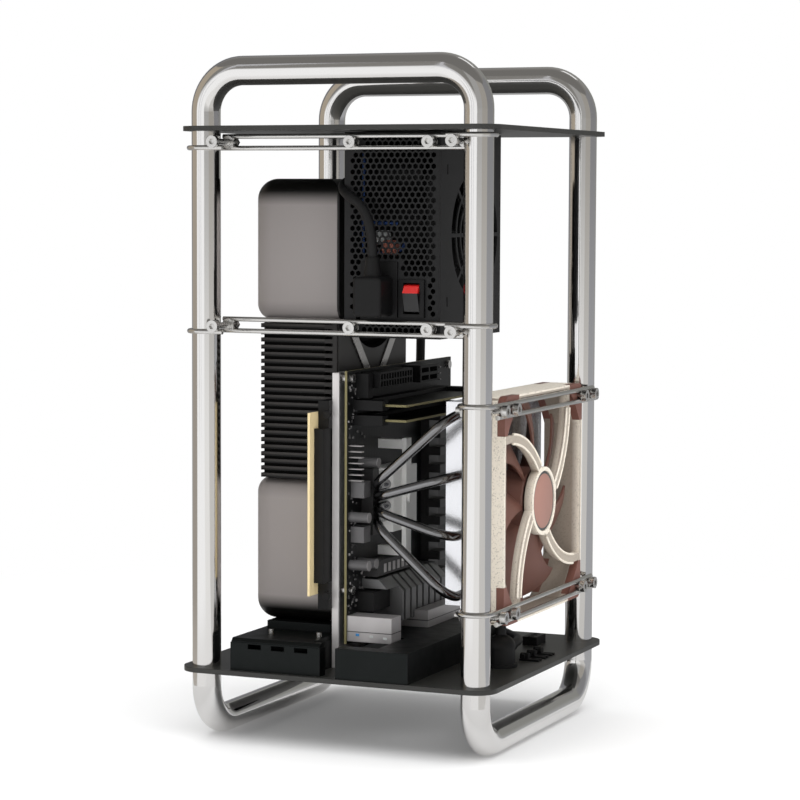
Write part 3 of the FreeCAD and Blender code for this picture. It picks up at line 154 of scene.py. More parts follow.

# Case fan: the frame's edge and the painted shade in its ring and arms, the hub with its film, the blades by
# shares of their pitch and depth, and the ribs of the arms, as arcs about a centre on Y and Z from the hub's.
FRAME_EDGE = 1.2 * MM
RING_SHADE = (1.0 * MM, 6.0 * MM)
FAN_BODY = "case_fan_rotor_body"
FAN_HUB = 21.0 * MM
FAN_TIP = 66.0 * MM
HUB_ROUND = 1.5 * MM
HUB_FACE = 18.8 * MM
HUB_RIM = 17.2 * MM
HUB_DROP = 1.0 * MM
FILM_THICK = 0.5 * MM
FILM_SIDE = 0.3 * MM
BLADE_COUNT = 7
BLADE_STEPS = 8
BLADE_THICK = 1.4 * MM
BLADE_ROOT = 0.5 * MM
BLADE_PHASE = 0.3
BLADE_SWEEP = 0.35
BLADE_CHORD = 0.8
BLADE_TAPER = 0.25
BLADE_REACH = 0.46
BLADE_BEND = 0.85
ARM_COUNT = 4
ARM_CENTRE = (-59.5 * MM, -28.4 * MM)
ARM_RADIUS = 71.9 * MM
ARM_START = math.radians(44)
ARM_END = math.radians(87)
ARM_STEPS = 14
ARM_RIB = 2.9 * MM
ARM_RIB_THICK = 1.6 * MM
ARM_RIB_SINK = 0.3 * MM
GROOVE_SHADE_RADIUS = 22.5 * MM
ARM_SHADE = 0.8

# Soft lights, in metres: name, setting of the power, place, target, width and height.
SOFTBOXES = (
    ("key_softbox", "key", (0.12, -0.5, 2.2), (0.0, 0.0, 0.2), 2.6, 2.6),
    ("side_softbox", "side", (1.6, -0.7, 0.45), (0.0, 0.0, 0.1), 1.6, 0.8),
)

# Floor, in metres: where it runs into white for the camera and turns greyer for reflections.
FLOOR_HALF = 6.0
WHITE_FADE = (0.28, 0.75)
WHITE_LEAST = 0.1
GREY_FADE = (0.08, 0.16)
GREY_MOST = 0.7
GREY_TONE = "#C6C5C4"

# Room of cards that only reflections see, in metres. A fade is given in shares of a card's length from its
# middle. A wall has a name, a bearing from +X and a span in degrees, its tone, its tone at the foot and far
# over the floor, and the floor's tone near the case.
ROOM = 2.4
WALL_FADE = (0.5, 0.3)
FLOOR_START = 0.27
FLOOR_LIFT = 2.0 * MM
FLOOR_FADE = (-0.45, -0.32)
CEILING_SIZE = 3 * ROOM
CEILING_TONES = ("#969491", "#757370")
CEILING_FADE = (0.3, 0.05)
PANEL_PLACE = (0.44, 1.22, ROOM - 10.0 * MM)
PANEL_SIZE = (0.9, 0.6)
PANEL_TONE = "#FFFFFF"
WALLS = (
    ("wall_warm", -171.5, 59, "#AEA393", "#A39C93", "#B3ADA5"),
    ("wall_behind", 137, 48, "#77777A", "#A0A0A0", "#A0A0A0"),
    ("wall_front", -64, 36, "#A6A5A3", "#F2F1EF", "#EDECEB"),
    ("wall_right", -25, 42, "#A29E97", "#D0CECB", "#CDCBC8"),
    ("wall_right_rear", 27, 62, "#858587", "#A9AAAD", "#A9AAAD"),
    ("wall_rear", 86, 56, "#8C8C88", "#A4A4A4", "#A4A4A4"),
    ("window", -112, 60, "#84827E", "#FFFFFF", "#EDECEB", (0.24, 0.1)),
    ("window_bar_left", -123, 4, "#C8C8CC", "#DCDCDD", None),
    ("window_bar_right", -108, 3, "#CECED2", "#DCDCDD", None),
)


def linear(hex_colour):
    """Turn an sRGB hex value into a linear colour with alpha."""
    parts = [int(hex_colour[i:i + 2], 16) / 255 for i in (1, 3, 5)]
    curve = [v / 12.92 if v <= 0.04045 else ((v + 0.055) / 1.055) ** 2.4 for v in parts]
    return (*curve, 1.0)


def shade(base, factor):
    """Give a lighter or darker tone of a linear colour."""
    return (*[min(1.0, v * factor) for v in base[:3]], 1.0)


def per_metre(size_mm):
    """Give the texture scale whose cells are this many millimetres wide."""
    return 1.0 / (size_mm * MM)


def colour(title, about, hex_colour):
    """Declare one colour that a user would change."""
    return FloatVectorProperty(name=title, description=about, subtype="COLOR", size=4,
                               min=0.0, max=1.0, default=linear(hex_colour))


def length(title, about, size_mm):
    """Declare one length that a user would change."""
    return FloatProperty(name=title, description=about, unit="LENGTH", default=size_mm * MM)


class CaseColours(bpy.types.PropertyGroup):
    tube: colour("Tube", "Polished stainless steel of the frame", "#EBEAE9")
    plate: colour("Plates", "Powder coat of the top and bottom plates", "#2B2B29")
    rod: colour("Rods", "Drawn wire of the cross bars", "#DDDCDA")
    supply: colour("Supply", "Coated sheet steel of the power supply", "#1A1A1B")
    plastic: colour("Plastic", "Moulded black plastic", "#0F0F10")
    switch_red: colour("Switch", "Red half of the rocker", "#CE211E")
    sheath: colour("Sheath", "Rubber of the mains lead", "#141415")
    card_shell: colour("Card shell", "Black anodised shell of the graphics card", "#131211")
    card_fins: colour("Card fins", "Black anodised fins of the graphics card", "#2A2827")
    card_plate: colour("Card plates", "Grey anodised face plates of the graphics card", "#97918F")
    card_trim: colour("Card trim", "Bright trim of the graphics card", "#B9B7B5")
    laminate: colour("Laminate", "Bare edge of a circuit board", "#7A7350")
    mask: colour("Mask", "Lacquer on the faces of a circuit board", "#151617")
    ivory: colour("Riser", "Cream edge of the riser board", "#E9D4A4")
    tray: colour("Tray", "Aluminium sheet behind the board", "#D9D6D5")
    pedestal: colour("Pedestals", "Black sheet of the pedestals", "#212424")
    sink: colour("Heat sink", "Grey aluminium of the heat sink on the board", "#8C8C8D")
    small_part: colour("Small parts", "Coils and blocks on the board", "#636263")
    tin: colour("Tin", "Tin plate of ports, pins and capacitor tops", "#C2BFBF")
    wire: colour("Wires", "Blue sleeves of the wires in the supply", "#1D3F7A")
    tape: colour("Coil tape", "Pale tape round a coil in the supply", "#C6C9C8")
    copper: colour("Coil wire", "Lacquered copper of a coil in the supply", "#C8806F")
    tongue: colour("Port tongues", "Blue plastic in a port", "#3B8AC8")
    nickel: colour("Heat pipes", "Nickel plate of the heat pipes", "#8F8F91")
    fin: colour("Cooler fins", "Bare aluminium of the fin stack", "#FAFBFF")
    bracket: colour("Bracket", "Light grey metal that clamps the cooler", "#F7F7F5")
    fan_frame: colour("Fan frame", "Beige plastic of the case fan", "#EEE5D6")
    # Painted shade: a darker beige for the inside of the fan's ring and the grooves of its arms.
    fan_shade: colour("Fan ring", "Beige plastic inside the ring of the fan", "#9A8E81")
    fan_fleck: colour("Fan flecks", "Dark flecks in the beige plastic", "#6E6359")
    fan_brown: colour("Fan pads", "Brown plastic of the corner pads", "#7A5045")
    fan_blade: colour("Fan blades", "Brown plastic of the rotor", "#6E4A40")
    hub_brown: colour("Hub face", "Film on the hub of the case fan", "#A77C70")
    hub_slate: colour("Hub rim", "Slim rim of the film on the hub", "#474C4D")


class CaseSizes(bpy.types.PropertyGroup):
    lead: length("Lead", "Diameter of the mains lead", 6.0)
    edge: length("Edges", "Radius that catches light along sheet edges", 0.5)
    fleck: length("Flecks", "Width of a fleck in the fan frame", 0.4)
    # The fade is the length of the painted shade at each end of the card's plates.
    fade: length("Fade", "Length over which the card's plates run into black", 8.5)


class CaseStage(bpy.types.PropertyGroup):
    focal: FloatProperty(name="Focal length", description="Focal length of the camera",
                         unit="CAMERA", default=FOCAL_PIXELS / PHOTO_PIXELS * SENSOR)
    key: FloatProperty(name="Key light", description="Power of the large overhead light",
                       unit="POWER", default=52.0)
    sky: FloatProperty(name="Room light", description="Strength of the even room light",
                       default=0.68, min=0.0)
    side: FloatProperty(name="Side light", description="Power of the soft light on the right",
                        unit="POWER", default=8.0)
    floor: colour("Floor", "Plain pale floor", "#F6F6F6")


def add_node(tree, kind, values=None, links=None, **settings):
    """Add one shader node, with its settings, its socket values and its incoming links."""
    made = tree.nodes.new("ShaderNode" + kind)
    for name, value in settings.items():
        setattr(made, name, value)
    for socket, value in (values or {}).items():
        made.inputs[socket].default_value = value
    for socket, source in (links or {}).items():
        tree.links.new(source, made.inputs[socket])
    return made


def new_finish(name, base, metallic, roughness):
    """Start a material and give back it, its tree, its shader and its coordinates."""
    finish = bpy.data.materials.new(name)
    finish.use_nodes = True
    tree = finish.node_tree
    shader = tree.nodes["Principled BSDF"]
    shader.inputs["Base Color"].default_value = base
    shader.inputs["Metallic"].default_value = metallic
    shader.inputs["Roughness"].default_value = roughness
    place = add_node(tree, "TexCoord").outputs["Object"]
    return finish, tree, shader, place


def grain(tree, shader, place, size_mm, depth_mm, edge=0.0):
    """Give a surface fine relief, over edges rounded to the eye where a radius is given."""
    height = add_node(tree, "TexNoise", {"Scale": per_metre(size_mm), "Detail": 3.0}, {"Vector": place})
    relief = add_node(tree, "Bump", {"Distance": depth_mm * MM, "Strength": 0.6},
                      {"Height": height.outputs["Fac"]})
    if edge:
        soft = add_node(tree, "Bevel", {"Radius": edge}, samples=4)
        tree.links.new(soft.outputs["Normal"], relief.inputs["Normal"])
    tree.links.new(relief.outputs["Normal"], shader.inputs["Normal"])


def cloud(tree, shader, place, size_mm, low, high):
    """Let roughness drift between two values in soft patches."""
    patch = add_node(tree, "TexNoise", {"Scale": per_metre(size_mm), "Detail": 2.0}, {"Vector": place})
    drift = add_node(tree, "MapRange", {"To Min": low, "To Max": high}, {"Value": patch.outputs["Fac"]})
    tree.links.new(drift.outputs["Result"], shader.inputs["Roughness"])


def along(tree, place, axis, start, end):
    """Rise from 0 to 1 between two positions on one axis of the model."""
    axes = add_node(tree, "SeparateXYZ", None, {"Vector": place})
    rise = add_node(tree, "MapRange", {"From Min": start, "From Max": end}, {"Value": axes.outputs[axis]})
    return rise.outputs["Result"]


def blend(tree, shader, share, first, second):
    """Colour a surface with two tones, the second by a share that changes over it."""
    mixed = add_node(tree, "Mix", {FIRST: first, SECOND: second}, {0: share}, data_type="RGBA")
    tree.links.new(mixed.outputs[MIXED], shader.inputs["Base Color"])


def tint(tree, shader, place, size_mm, base, low, high):
    """Let the colour drift between a lower and a higher tone in soft patches."""
    patch = add_node(tree, "TexNoise", {"Scale": per_metre(size_mm), "Detail": 3.0}, {"Vector": place})
    blend(tree, shader, patch.outputs["Fac"], shade(base, low), shade(base, high))


def from_axis(tree, place, at):
    """Give the distance from the case fan's axis."""
    flat = add_node(tree, "VectorMath", {1: (0.0, at[1], at[2])}, {0: place}, operation="SUBTRACT")
    flat = add_node(tree, "VectorMath", {1: (0.0, 1.0, 1.0)}, {0: flat.outputs[0]}, operation="MULTIPLY")
    return add_node(tree, "VectorMath", None, {0: flat.outputs[0]}, operation="LENGTH").outputs["Value"]


def polished_steel(looks, axis):
    # Stainless steel tube, polished: a clear mirror with a faint haze and fine lines along the tube.
    finish, tree, shader, place = new_finish(
        "stainless_steel_polished_" + axis, looks.tube, metallic=1.0, roughness=0.1)
    cloud(tree, shader, place, size_mm=60.0, low=0.06, high=0.13)
    # The lines are drawn at 1 mm so that they show, and forty times as long.
    stretch = [TUBE_LINE if name == axis else 1.0 for name in "xyz"]
    lengthwise = add_node(tree, "Mapping", {"Scale": stretch}, {"Vector": place}).outputs["Vector"]
    grain(tree, shader, lengthwise, size_mm=1.0, depth_mm=0.004)
    return finish


def black_powder_coat(looks, sizes):
    # Steel plate, powder coated: satin black with a fine orange peel and soft edges.
    finish, tree, shader, place = new_finish(
        "steel_plate_powder_coated", looks.plate, metallic=0.0, roughness=0.42)
    tint(tree, shader, place, size_mm=30.0, base=looks.plate, low=0.85, high=1.2)
    # The peel is drawn at 0.8 mm so that it shows.
    grain(tree, shader, place, size_mm=0.8, depth_mm=0.02, edge=sizes.edge)
    return finish


def drawn_wire(looks):
    # Steel wire, drawn: bright with fine lines along it, seen as a changing gloss.
    finish, tree, shader, place = new_finish("steel_wire_drawn", looks.rod, metallic=1.0, roughness=0.2)
    cloud(tree, shader, place, size_mm=9.0, low=0.14, high=0.3)
    return finish


def turned_steel(looks, sizes):
    # Steel fasteners, turned: bright, with slightly broken edges and tool marks.
    finish, tree, shader, place = new_finish("steel_turned", looks.rod, metallic=1.0, roughness=0.25)
    cloud(tree, shader, place, size_mm=2.5, low=0.16, high=0.36)
    grain(tree, shader, place, size_mm=0.6, depth_mm=0.015, edge=sizes.edge * 0.6)
    return finish


def coated_sheet(looks, sizes):
    # Sheet steel, powder coated: charcoal, matt, with folded edges that catch light.
    finish, tree, shader, place = new_finish(
        "sheet_steel_powder_coated", looks.supply, metallic=0.0, roughness=0.5)
    shader.inputs["Specular IOR Level"].default_value = DULL
    tint(tree, shader, place, size_mm=12.0, base=looks.supply, low=0.8, high=1.25)
    grain(tree, shader, place, size_mm=0.7, depth_mm=0.03, edge=sizes.edge * 0.6)
    return finish


def moulded_plastic(looks, sizes, name="nylon_moulded_black", edge=1.0):
    # Glass filled nylon, rubber or phenolic, moulded: dull black with a fine spark finish and eased edges.
    finish, tree, shader, place = new_finish(name, looks.plastic, metallic=0.0, roughness=0.5)
    shader.inputs["Specular IOR Level"].default_value = DULL
    tint(tree, shader, place, size_mm=6.0, base=looks.plastic, low=0.8, high=1.25)
    grain(tree, shader, place, size_mm=0.5, depth_mm=0.03, edge=sizes.edge * edge)
    return finish


def rocker_plastic(looks):
    # Polycarbonate, moulded in two shots: red upper face, dark lower face, a slight gloss.
    finish, tree, shader, place = new_finish(
        "polycarbonate_two_shot", looks.plastic, metallic=0.0, roughness=0.3)
    low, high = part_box("psu_rocker")
    ridge = low[2] + (high[2] - low[2]) * ROCKER_RIDGE
    upper = along(tree, place, "Z", ridge, ridge + SHARP)
    blend(tree, shader, upper, shade(looks.plastic, 2.6), looks.switch_red)
    grain(tree, shader, place, size_mm=0.6, depth_mm=0.01)
    return finish


def rubber_sheath(looks):
    # Rubber sheath, extruded: black, soft sheen, faint lengthwise unevenness.
    finish, tree, shader, place = new_finish(
        "rubber_extruded_black", looks.sheath, metallic=0.0, roughness=0.5)
    shader.inputs["Specular IOR Level"].default_value = DULL
    grain(tree, shader, place, size_mm=1.5, depth_mm=0.03)
    return finish


def black_anodised(looks, sizes):
    # Aluminium, black anodised: deep black with a satin gloss on the roundings.
    finish, tree, shader, place = new_finish(
        "aluminium_anodised_black", looks.card_shell, metallic=0.35, roughness=0.3)
    cloud(tree, shader, place, size_mm=25.0, low=0.24, high=0.36)
    grain(tree, shader, place, size_mm=0.5, depth_mm=0.008, edge=sizes.edge)
    return finish


def grey_anodised(looks, sizes):
    # Aluminium, bead blasted and grey anodised: warm grey satin, with painted shade that runs it into black
    # at the card's two ends.
    finish, tree, shader, place = new_finish(
        "aluminium_anodised_grey", looks.card_plate, metallic=0.2, roughness=0.5)
    low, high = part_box("gpu_face_plates")
    # Painted shade: over the fade length at each end the grey gives way to the shell's black.
    lower = along(tree, place, "Z", low[2], low[2] + sizes.fade)
    upper = along(tree, place, "Z", high[2], high[2] - sizes.fade)
    both = add_node(tree, "Math", None, {0: lower, 1: upper}, operation="MULTIPLY")
    # Next to the fins the plates curve in, and painted shade makes them read a little darker there.
    fin_low, fin_high = (corner[2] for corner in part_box("gpu_fins"))
    below = along(tree, place, "Z", fin_low, fin_low - 1.5 * sizes.fade)
    above = along(tree, place, "Z", fin_high, fin_high + 1.5 * sizes.fade)
    clear = add_node(tree, "Math", None, {0: below, 1: above}, operation="MAXIMUM")
    tone = add_node(tree, "Mix", {FIRST: shade(looks.card_plate, 0.55), SECOND: looks.card_plate},
                    {0: clear.outputs[0]}, data_type="RGBA")
    end_shaded = add_node(tree, "Mix", {FIRST: looks.card_shell},
                     {0: both.outputs[0], SECOND: tone.outputs[MIXED]}, data_type="RGBA")
    tree.links.new(end_shaded.outputs[MIXED], shader.inputs["Base Color"])
    # The blasted grit is drawn at 0.5 mm so that it shows.
    grain(tree, shader, place, size_mm=0.5, depth_mm=0.006, edge=sizes.edge)
    return finish


def finned_anodised(looks, sizes):
    # Aluminium, black anodised: painted highlight on the top of each fin's front, painted shade below it.
    finish, tree, shader, place = new_finish(
        "aluminium_anodised_fins", looks.card_fins, metallic=0.45, roughness=0.36)
    low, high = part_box("gpu_fins")
    rise = along(tree, place, "Z", low[2], high[2])
    count = add_node(tree, "Math", {1: FIN_COUNT}, {0: rise}, operation="MULTIPLY")
    part = add_node(tree, "Math", None, {0: count.outputs[0]}, operation="FRACT")
    upper = add_node(tree, "MapRange", {"From Min": FIN_PAINTED_SHADE, "From Max": FIN_PAINTED_HIGHLIGHT},
                     {"Value": part.outputs[0]})
    # Painted shade low on each fin in a near-black shell tone, painted highlight above it in a lighter fin
    # tone.
    fin_highlight_and_shade = add_node(tree, "Mix", {FIRST: shade(looks.card_shell, 0.2), SECOND: shade(looks.card_fins, 1.7)},
                   {0: upper.outputs["Result"]}, data_type="RGBA")
    # To the right of the fins the core is plain.
    plain = along(tree, place, "X", ROOT_RIGHT, ROOT_RIGHT + SHARP)
    tone = add_node(tree, "Mix", {SECOND: looks.card_fins}, {0: plain, FIRST: fin_highlight_and_shade.outputs[MIXED]},
                    data_type="RGBA")
    tree.links.new(tone.outputs[MIXED], shader.inputs["Base Color"])
    cloud(tree, shader, place, size_mm=25.0, low=0.29, high=0.45)
    grain(tree, shader, place, size_mm=0.6, depth_mm=0.012, edge=sizes.edge * 0.6)
    return finish


def root_shade_anodised(looks):
    # Aluminium, matt anodised: the roots between the fins, in painted shade, so dull that they read as depth.
    finish, tree, shader, place = new_finish(
        "aluminium_anodised_matt", shade(looks.card_shell, 0.4), metallic=0.0, roughness=0.85)
    shader.inputs["Specular IOR Level"].default_value = MATT
    tint(tree, shader, place, size_mm=5.0, base=looks.card_shell, low=0.3, high=0.5)
    return finish


def bright_trim(looks, sizes):
    # Aluminium, diamond cut: bright bevels on the bars of the card.
    finish, tree, shader, place = new_finish(
        "aluminium_diamond_cut", looks.card_trim, metallic=0.9, roughness=0.28)
    cloud(tree, shader, place, size_mm=10.0, low=0.22, high=0.34)
    grain(tree, shader, place, size_mm=0.5, depth_mm=0.005, edge=sizes.edge * 0.6)
    return finish


def board_laminate(name, face, edge, axis):
    # Glass laminate, lacquered: dark lacquer on the faces, bare laminate along the cut edges.
    finish, tree, shader, place = new_finish(name, face, metallic=0.0, roughness=0.42)
    shader.inputs["Specular IOR Level"].default_value = DULL
    normal = add_node(tree, "TexCoord").outputs["Normal"]
    axes = add_node(tree, "SeparateXYZ", None, {"Vector": normal})
    facing = add_node(tree, "Math", None, {0: axes.outputs[axis]}, operation="ABSOLUTE")
    lacquer = add_node(tree, "Math", {1: SQUARE_ON}, {0: facing.outputs[0]}, operation="GREATER_THAN")
    # Copper under the lacquer shows as fine raised tracks, drawn 2 mm wide.
    tracks = add_node(tree, "TexBrick",
                      {"Scale": per_metre(8.0), "Color1": face, "Color2": shade(face, 1.5),
                       "Mortar": shade(face, 0.6), "Mortar Size": 0.08}, {"Vector": place})
    coat = add_node(tree, "Mix", {FIRST: edge}, {0: lacquer.outputs[0], SECOND: tracks.outputs["Color"]},
                    data_type="RGBA")
    tree.links.new(coat.outputs[MIXED], shader.inputs["Base Color"])
    relief = add_node(tree, "Bump", {"Distance": 0.02 * MM, "Strength": 0.4},
                      {"Height": tracks.outputs["Fac"]})
    tree.links.new(relief.outputs["Normal"], shader.inputs["Normal"])
    return finish


def cream_laminate(looks, sizes):
    # Paper laminate, sanded: plain cream with a soft drift of tone.
    finish, tree, shader, place = new_finish(
        "laminate_sanded_cream", looks.ivory, metallic=0.0, roughness=0.5)
    tint(tree, shader, place, size_mm=9.0, base=looks.ivory, low=0.92, high=1.05)
    grain(tree, shader, place, size_mm=0.5, depth_mm=0.01, edge=sizes.edge * 0.5)
    return finish


def board_parts(looks, sizes):
    # Moulded and wound parts on the board: grey at the front, black behind, with tin tops on the front cans.
    finish, tree, shader, place = new_finish(
        "ferrite_and_tin_cans", looks.small_part, metallic=0.4, roughness=0.42)
    can_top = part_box("motherboard")[1][0] + CAN_HEIGHT
    top = along(tree, place, "X", can_top - CAN_RIM, can_top - CAN_RIM + SHARP)
    front = along(tree, place, "Y", SHARP, 0.0)
    tinned = add_node(tree, "Math", None, {0: top, 1: front}, operation="MULTIPLY")
    row = along(tree, place, "Y", PART_ROW, PART_ROW - 5 * SHARP)
    body = add_node(tree, "Mix", {FIRST: shade(looks.small_part, 0.3), SECOND: looks.small_part}, {0: row},
                    data_type="RGBA")
    topped = add_node(tree, "Mix", {SECOND: shade(looks.tin, 0.5)},
                      {0: tinned.outputs[0], FIRST: body.outputs[MIXED]}, data_type="RGBA")
    tree.links.new(topped.outputs[MIXED], shader.inputs["Base Color"])
    grain(tree, shader, place, size_mm=0.6, depth_mm=0.02, edge=sizes.edge)
    return finish


def satin_metal(name, base, sizes, roughness, size_mm=8.0, metallic=0.85):
    # Plain metal part, rolled or cast: satin, with soft patches in its gloss and eased edges.
    finish, tree, shader, place = new_finish(name, base, metallic, roughness)
    cloud(tree, shader, place, size_mm=size_mm, low=roughness * 0.8, high=roughness * 1.25)
    grain(tree, shader, place, size_mm=0.6, depth_mm=0.012, edge=sizes.edge * 0.6)
    return finish


def port_shells(looks, sizes):
    # Steel sheet, folded and tin plated: satin grey with the dark seam of the fold across the front.
    finish, tree, shader, place = new_finish(
        "steel_sheet_tin_plated", looks.tin, metallic=0.7, roughness=0.36)
    axes = add_node(tree, "SeparateXYZ", None, {"Vector": place})
    seam = add_node(tree, "Math", {1: PORT_SEAM, 2: SEAM_HALF}, {0: axes.outputs["Z"]}, operation="COMPARE")
    blend(tree, shader, seam.outputs[0], looks.tin, shade(looks.tin, 0.25))
    cloud(tree, shader, place, size_mm=6.0, low=0.28, high=0.44)
    grain(tree, shader, place, size_mm=0.6, depth_mm=0.012, edge=sizes.edge)
    return finish


def port_tongues(looks, sizes):
    # Plastic, moulded: the tongues in the ports, one blue and the others white, with a soft gloss.
    finish, tree, shader, place = new_finish(
        "plastic_moulded_tongues", looks.tongue, metallic=0.0, roughness=0.4)
    white = along(tree, place, "X", TONGUE_BLUE, TONGUE_BLUE + SHARP)
    blend(tree, shader, white, looks.tongue, looks.tape)
    grain(tree, shader, place, size_mm=0.5, depth_mm=0.01, edge=sizes.edge * 0.4)
    return finish


def wound_wire(name, base, sizes):
    # Wires and coils, sleeved, taped or lacquered: satin, with a drift of tone from turn to turn.
    finish, tree, shader, place = new_finish(name, base, metallic=0.1, roughness=0.4)
    tint(tree, shader, place, size_mm=1.5, base=base, low=0.6, high=1.2)
    grain(tree, shader, place, size_mm=0.6, depth_mm=0.02, edge=sizes.edge * 0.4)
    return finish


def chip_bodies(looks, sizes):
    # Small chips, fired and moulded: each part dark or tin grey by where it sits.
    finish, tree, shader, place = new_finish(
        "ceramic_chips_fired", looks.small_part, metallic=0.1, roughness=0.4)
    patch = add_node(tree, "TexNoise", {"Scale": per_metre(2.5), "Detail": 1.0}, {"Vector": place})
    pale = add_node(tree, "MapRange", {"From Min": 0.5, "From Max": 0.62}, {"Value": patch.outputs["Fac"]})
    blend(tree, shader, pale.outputs["Result"], shade(looks.small_part, 0.4), shade(looks.tin, 0.5))
    grain(tree, shader, place, size_mm=0.5, depth_mm=0.01, edge=sizes.edge * 0.3)
    return finish


def brushed_fins(looks):
    # Aluminium sheet, rolled: bright fins with fine lines along the roll.
    finish, tree, shader, place = new_finish(
        "aluminium_rolled_bright", looks.fin, metallic=0.85, roughness=0.2)
    stretch = add_node(tree, "Mapping", {"Scale": (1.0, ROLL_LINE, 1.0)}, {"Vector": place})
    lines = add_node(tree, "TexNoise", {"Scale": per_metre(1.2), "Detail": 2.0},
                     {"Vector": stretch.outputs["Vector"]})
    gloss = add_node(tree, "MapRange", {"To Min": 0.1, "To Max": 0.3}, {"Value": lines.outputs["Fac"]})
    tree.links.new(gloss.outputs["Result"], shader.inputs["Roughness"])
    return finish


def flecked_plastic(looks, sizes, name, groove_shade):
    # Glass filled plastic, moulded: beige with fine dark flecks and a dull face.
    finish, tree, shader, place = new_finish(name, looks.fan_frame, metallic=0.0, roughness=0.6)
    # The inside of the ring lies in the shade of the rotor, and painted shade makes it darker towards the
    # back.
    low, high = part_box("fan_frame")
    middle = [(a + b) / 2 for a, b in zip(low, high)]
    flat = add_node(tree, "VectorMath", {1: middle}, {0: place}, operation="SUBTRACT")
    flat = add_node(tree, "VectorMath", None, {0: flat.outputs[0]}, operation="ABSOLUTE")
    axes = add_node(tree, "SeparateXYZ", None, {"Vector": flat.outputs[0]})
    out = add_node(tree, "Math", None, {0: axes.outputs["Y"], 1: axes.outputs["Z"]}, operation="MAXIMUM")
    ring = (high[1] - low[1]) / 2 - FRAME_EDGE
    inside = add_node(tree, "Math", {1: ring}, {0: out.outputs[0]}, operation="LESS_THAN")
    depth_shade = along(tree, place, "X", *(high[0] - depth for depth in RING_SHADE))
    # The front of the arms, between their ribs and outside the hub, lies in a groove and gets painted shade.
    arm = add_node(tree, "VectorMath", {1: (0.0, 1.0, 1.0)}, {0: flat.outputs[0]}, operation="MULTIPLY")
    arm = add_node(tree, "VectorMath", None, {0: arm.outputs[0]}, operation="LENGTH")
    arm = add_node(tree, "Math", {1: GROOVE_SHADE_RADIUS}, {0: arm.outputs["Value"]}, operation="GREATER_THAN")
    front = along(tree, place, "X", high[0] - 2 * SHARP, high[0] - SHARP)
    arm = add_node(tree, "Math", None, {0: arm.outputs[0], 1: front}, operation="MULTIPLY")
    arm = add_node(tree, "Math", {1: groove_shade}, {0: arm.outputs[0]}, operation="MULTIPLY")
    depth_shade = add_node(tree, "Math", None, {0: depth_shade, 1: arm.outputs[0]}, operation="MAXIMUM")
    shaded = add_node(tree, "Math", None, {0: inside.outputs[0], 1: depth_shade.outputs[0]}, operation="MULTIPLY")
    body = add_node(tree, "Mix", {FIRST: looks.fan_frame, SECOND: looks.fan_shade}, {0: shaded.outputs[0]},
                    data_type="RGBA")
    # A fleck takes about half a cell of the pattern.
    fine = add_node(tree, "TexNoise", {"Scale": 0.5 / sizes.fleck, "Detail": 1.0}, {"Vector": place})
    spots = add_node(tree, "MapRange", {"From Min": 0.56, "From Max": 0.95}, {"Value": fine.outputs["Fac"]})
    flecked = add_node(tree, "Mix", {SECOND: looks.fan_fleck},
                       {0: spots.outputs["Result"], FIRST: body.outputs[MIXED]}, data_type="RGBA")
    tree.links.new(flecked.outputs[MIXED], shader.inputs["Base Color"])
    grain(tree, shader, place, size_mm=0.8, depth_mm=0.02, edge=sizes.edge)
    return finish


def rotor_plastic(looks, sizes, at):
    # Plastic, moulded: brown blades and hub with a little sheen, and painted shade on the hub's open end.
    finish, tree, shader, place = new_finish(
        "plastic_moulded_rotor", looks.fan_blade, metallic=0.0, roughness=0.45)
    # Painted shade: near black inside the rounding of the hub's ends.
    blade = add_node(tree, "MapRange", {"From Min": FAN_HUB - HUB_ROUND, "From Max": FAN_HUB - HUB_ROUND / 3},
                     {"Value": from_axis(tree, place, at)})
    blend(tree, shader, blade.outputs["Result"], shade(looks.fan_blade, 0.2), looks.fan_blade)
    grain(tree, shader, place, size_mm=0.7, depth_mm=0.02, edge=sizes.edge)
    return finish


def brown_plastic(looks, sizes):
    # Plastic, moulded: warm brown, satin, with slight flow marks.
    finish, tree, shader, place = new_finish(
        "plastic_moulded_brown", looks.fan_brown, metallic=0.0, roughness=0.48)
    tint(tree, shader, place, size_mm=14.0, base=looks.fan_brown, low=0.86, high=1.1)
    grain(tree, shader, place, size_mm=0.7, depth_mm=0.02, edge=sizes.edge)
    return finish


def hub_faces(looks, at):
    # Polyester film, matt: a plain warm brown disc with a slim slate rim.
    finish, tree, shader, place = new_finish(
        "polyester_film_matt", looks.hub_brown, metallic=0.0, roughness=0.45)
    rim = add_node(tree, "Math", {1: HUB_RIM}, {0: from_axis(tree, place, at)}, operation="GREATER_THAN")
    blend(tree, shader, rim.outputs[0], looks.hub_brown, looks.hub_slate)
    grain(tree, shader, place, size_mm=1.0, depth_mm=0.005)
    return finish


def dress(finish, *names):
    """Give the named solids one finish."""
    for name in names:
        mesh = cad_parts[name].data
        mesh.materials.clear()
        mesh.materials.append(finish)


def new_piece(name, shape, finish, body):
    """Put a new piece into the scene on its body, with its finish."""
    piece = bpy.data.objects.new(name, shape)
    bpy.context.scene.collection.objects.link(piece)
    shape.materials.append(finish)
    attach(piece, body)
    return piece


def settings():
    """Give the colours, the sizes and the settings of the stage."""
    scene = bpy.context.scene
    return scene.case_colours, scene.case_sizes, scene.case_stage


def new_wire(name, radius, roundness):
    """Start a round wire that takes the runs added to it."""
    line = bpy.data.curves.new(name, "CURVE")
    line.dimensions = "3D"
    line.bevel_depth = radius
    line.bevel_resolution = roundness
    line.use_fill_caps = True
    return line


def add_run(line, route):
    """Add one smooth run along points in millimetres."""
    run = line.splines.new("NURBS")
    run.points.add(len(route) - 1)
    for point, spot in zip(run.points, route):
        point.co = (*(v * MM for v in spot), 1.0)
    run.order_u = 3
    run.use_endpoint_u = True


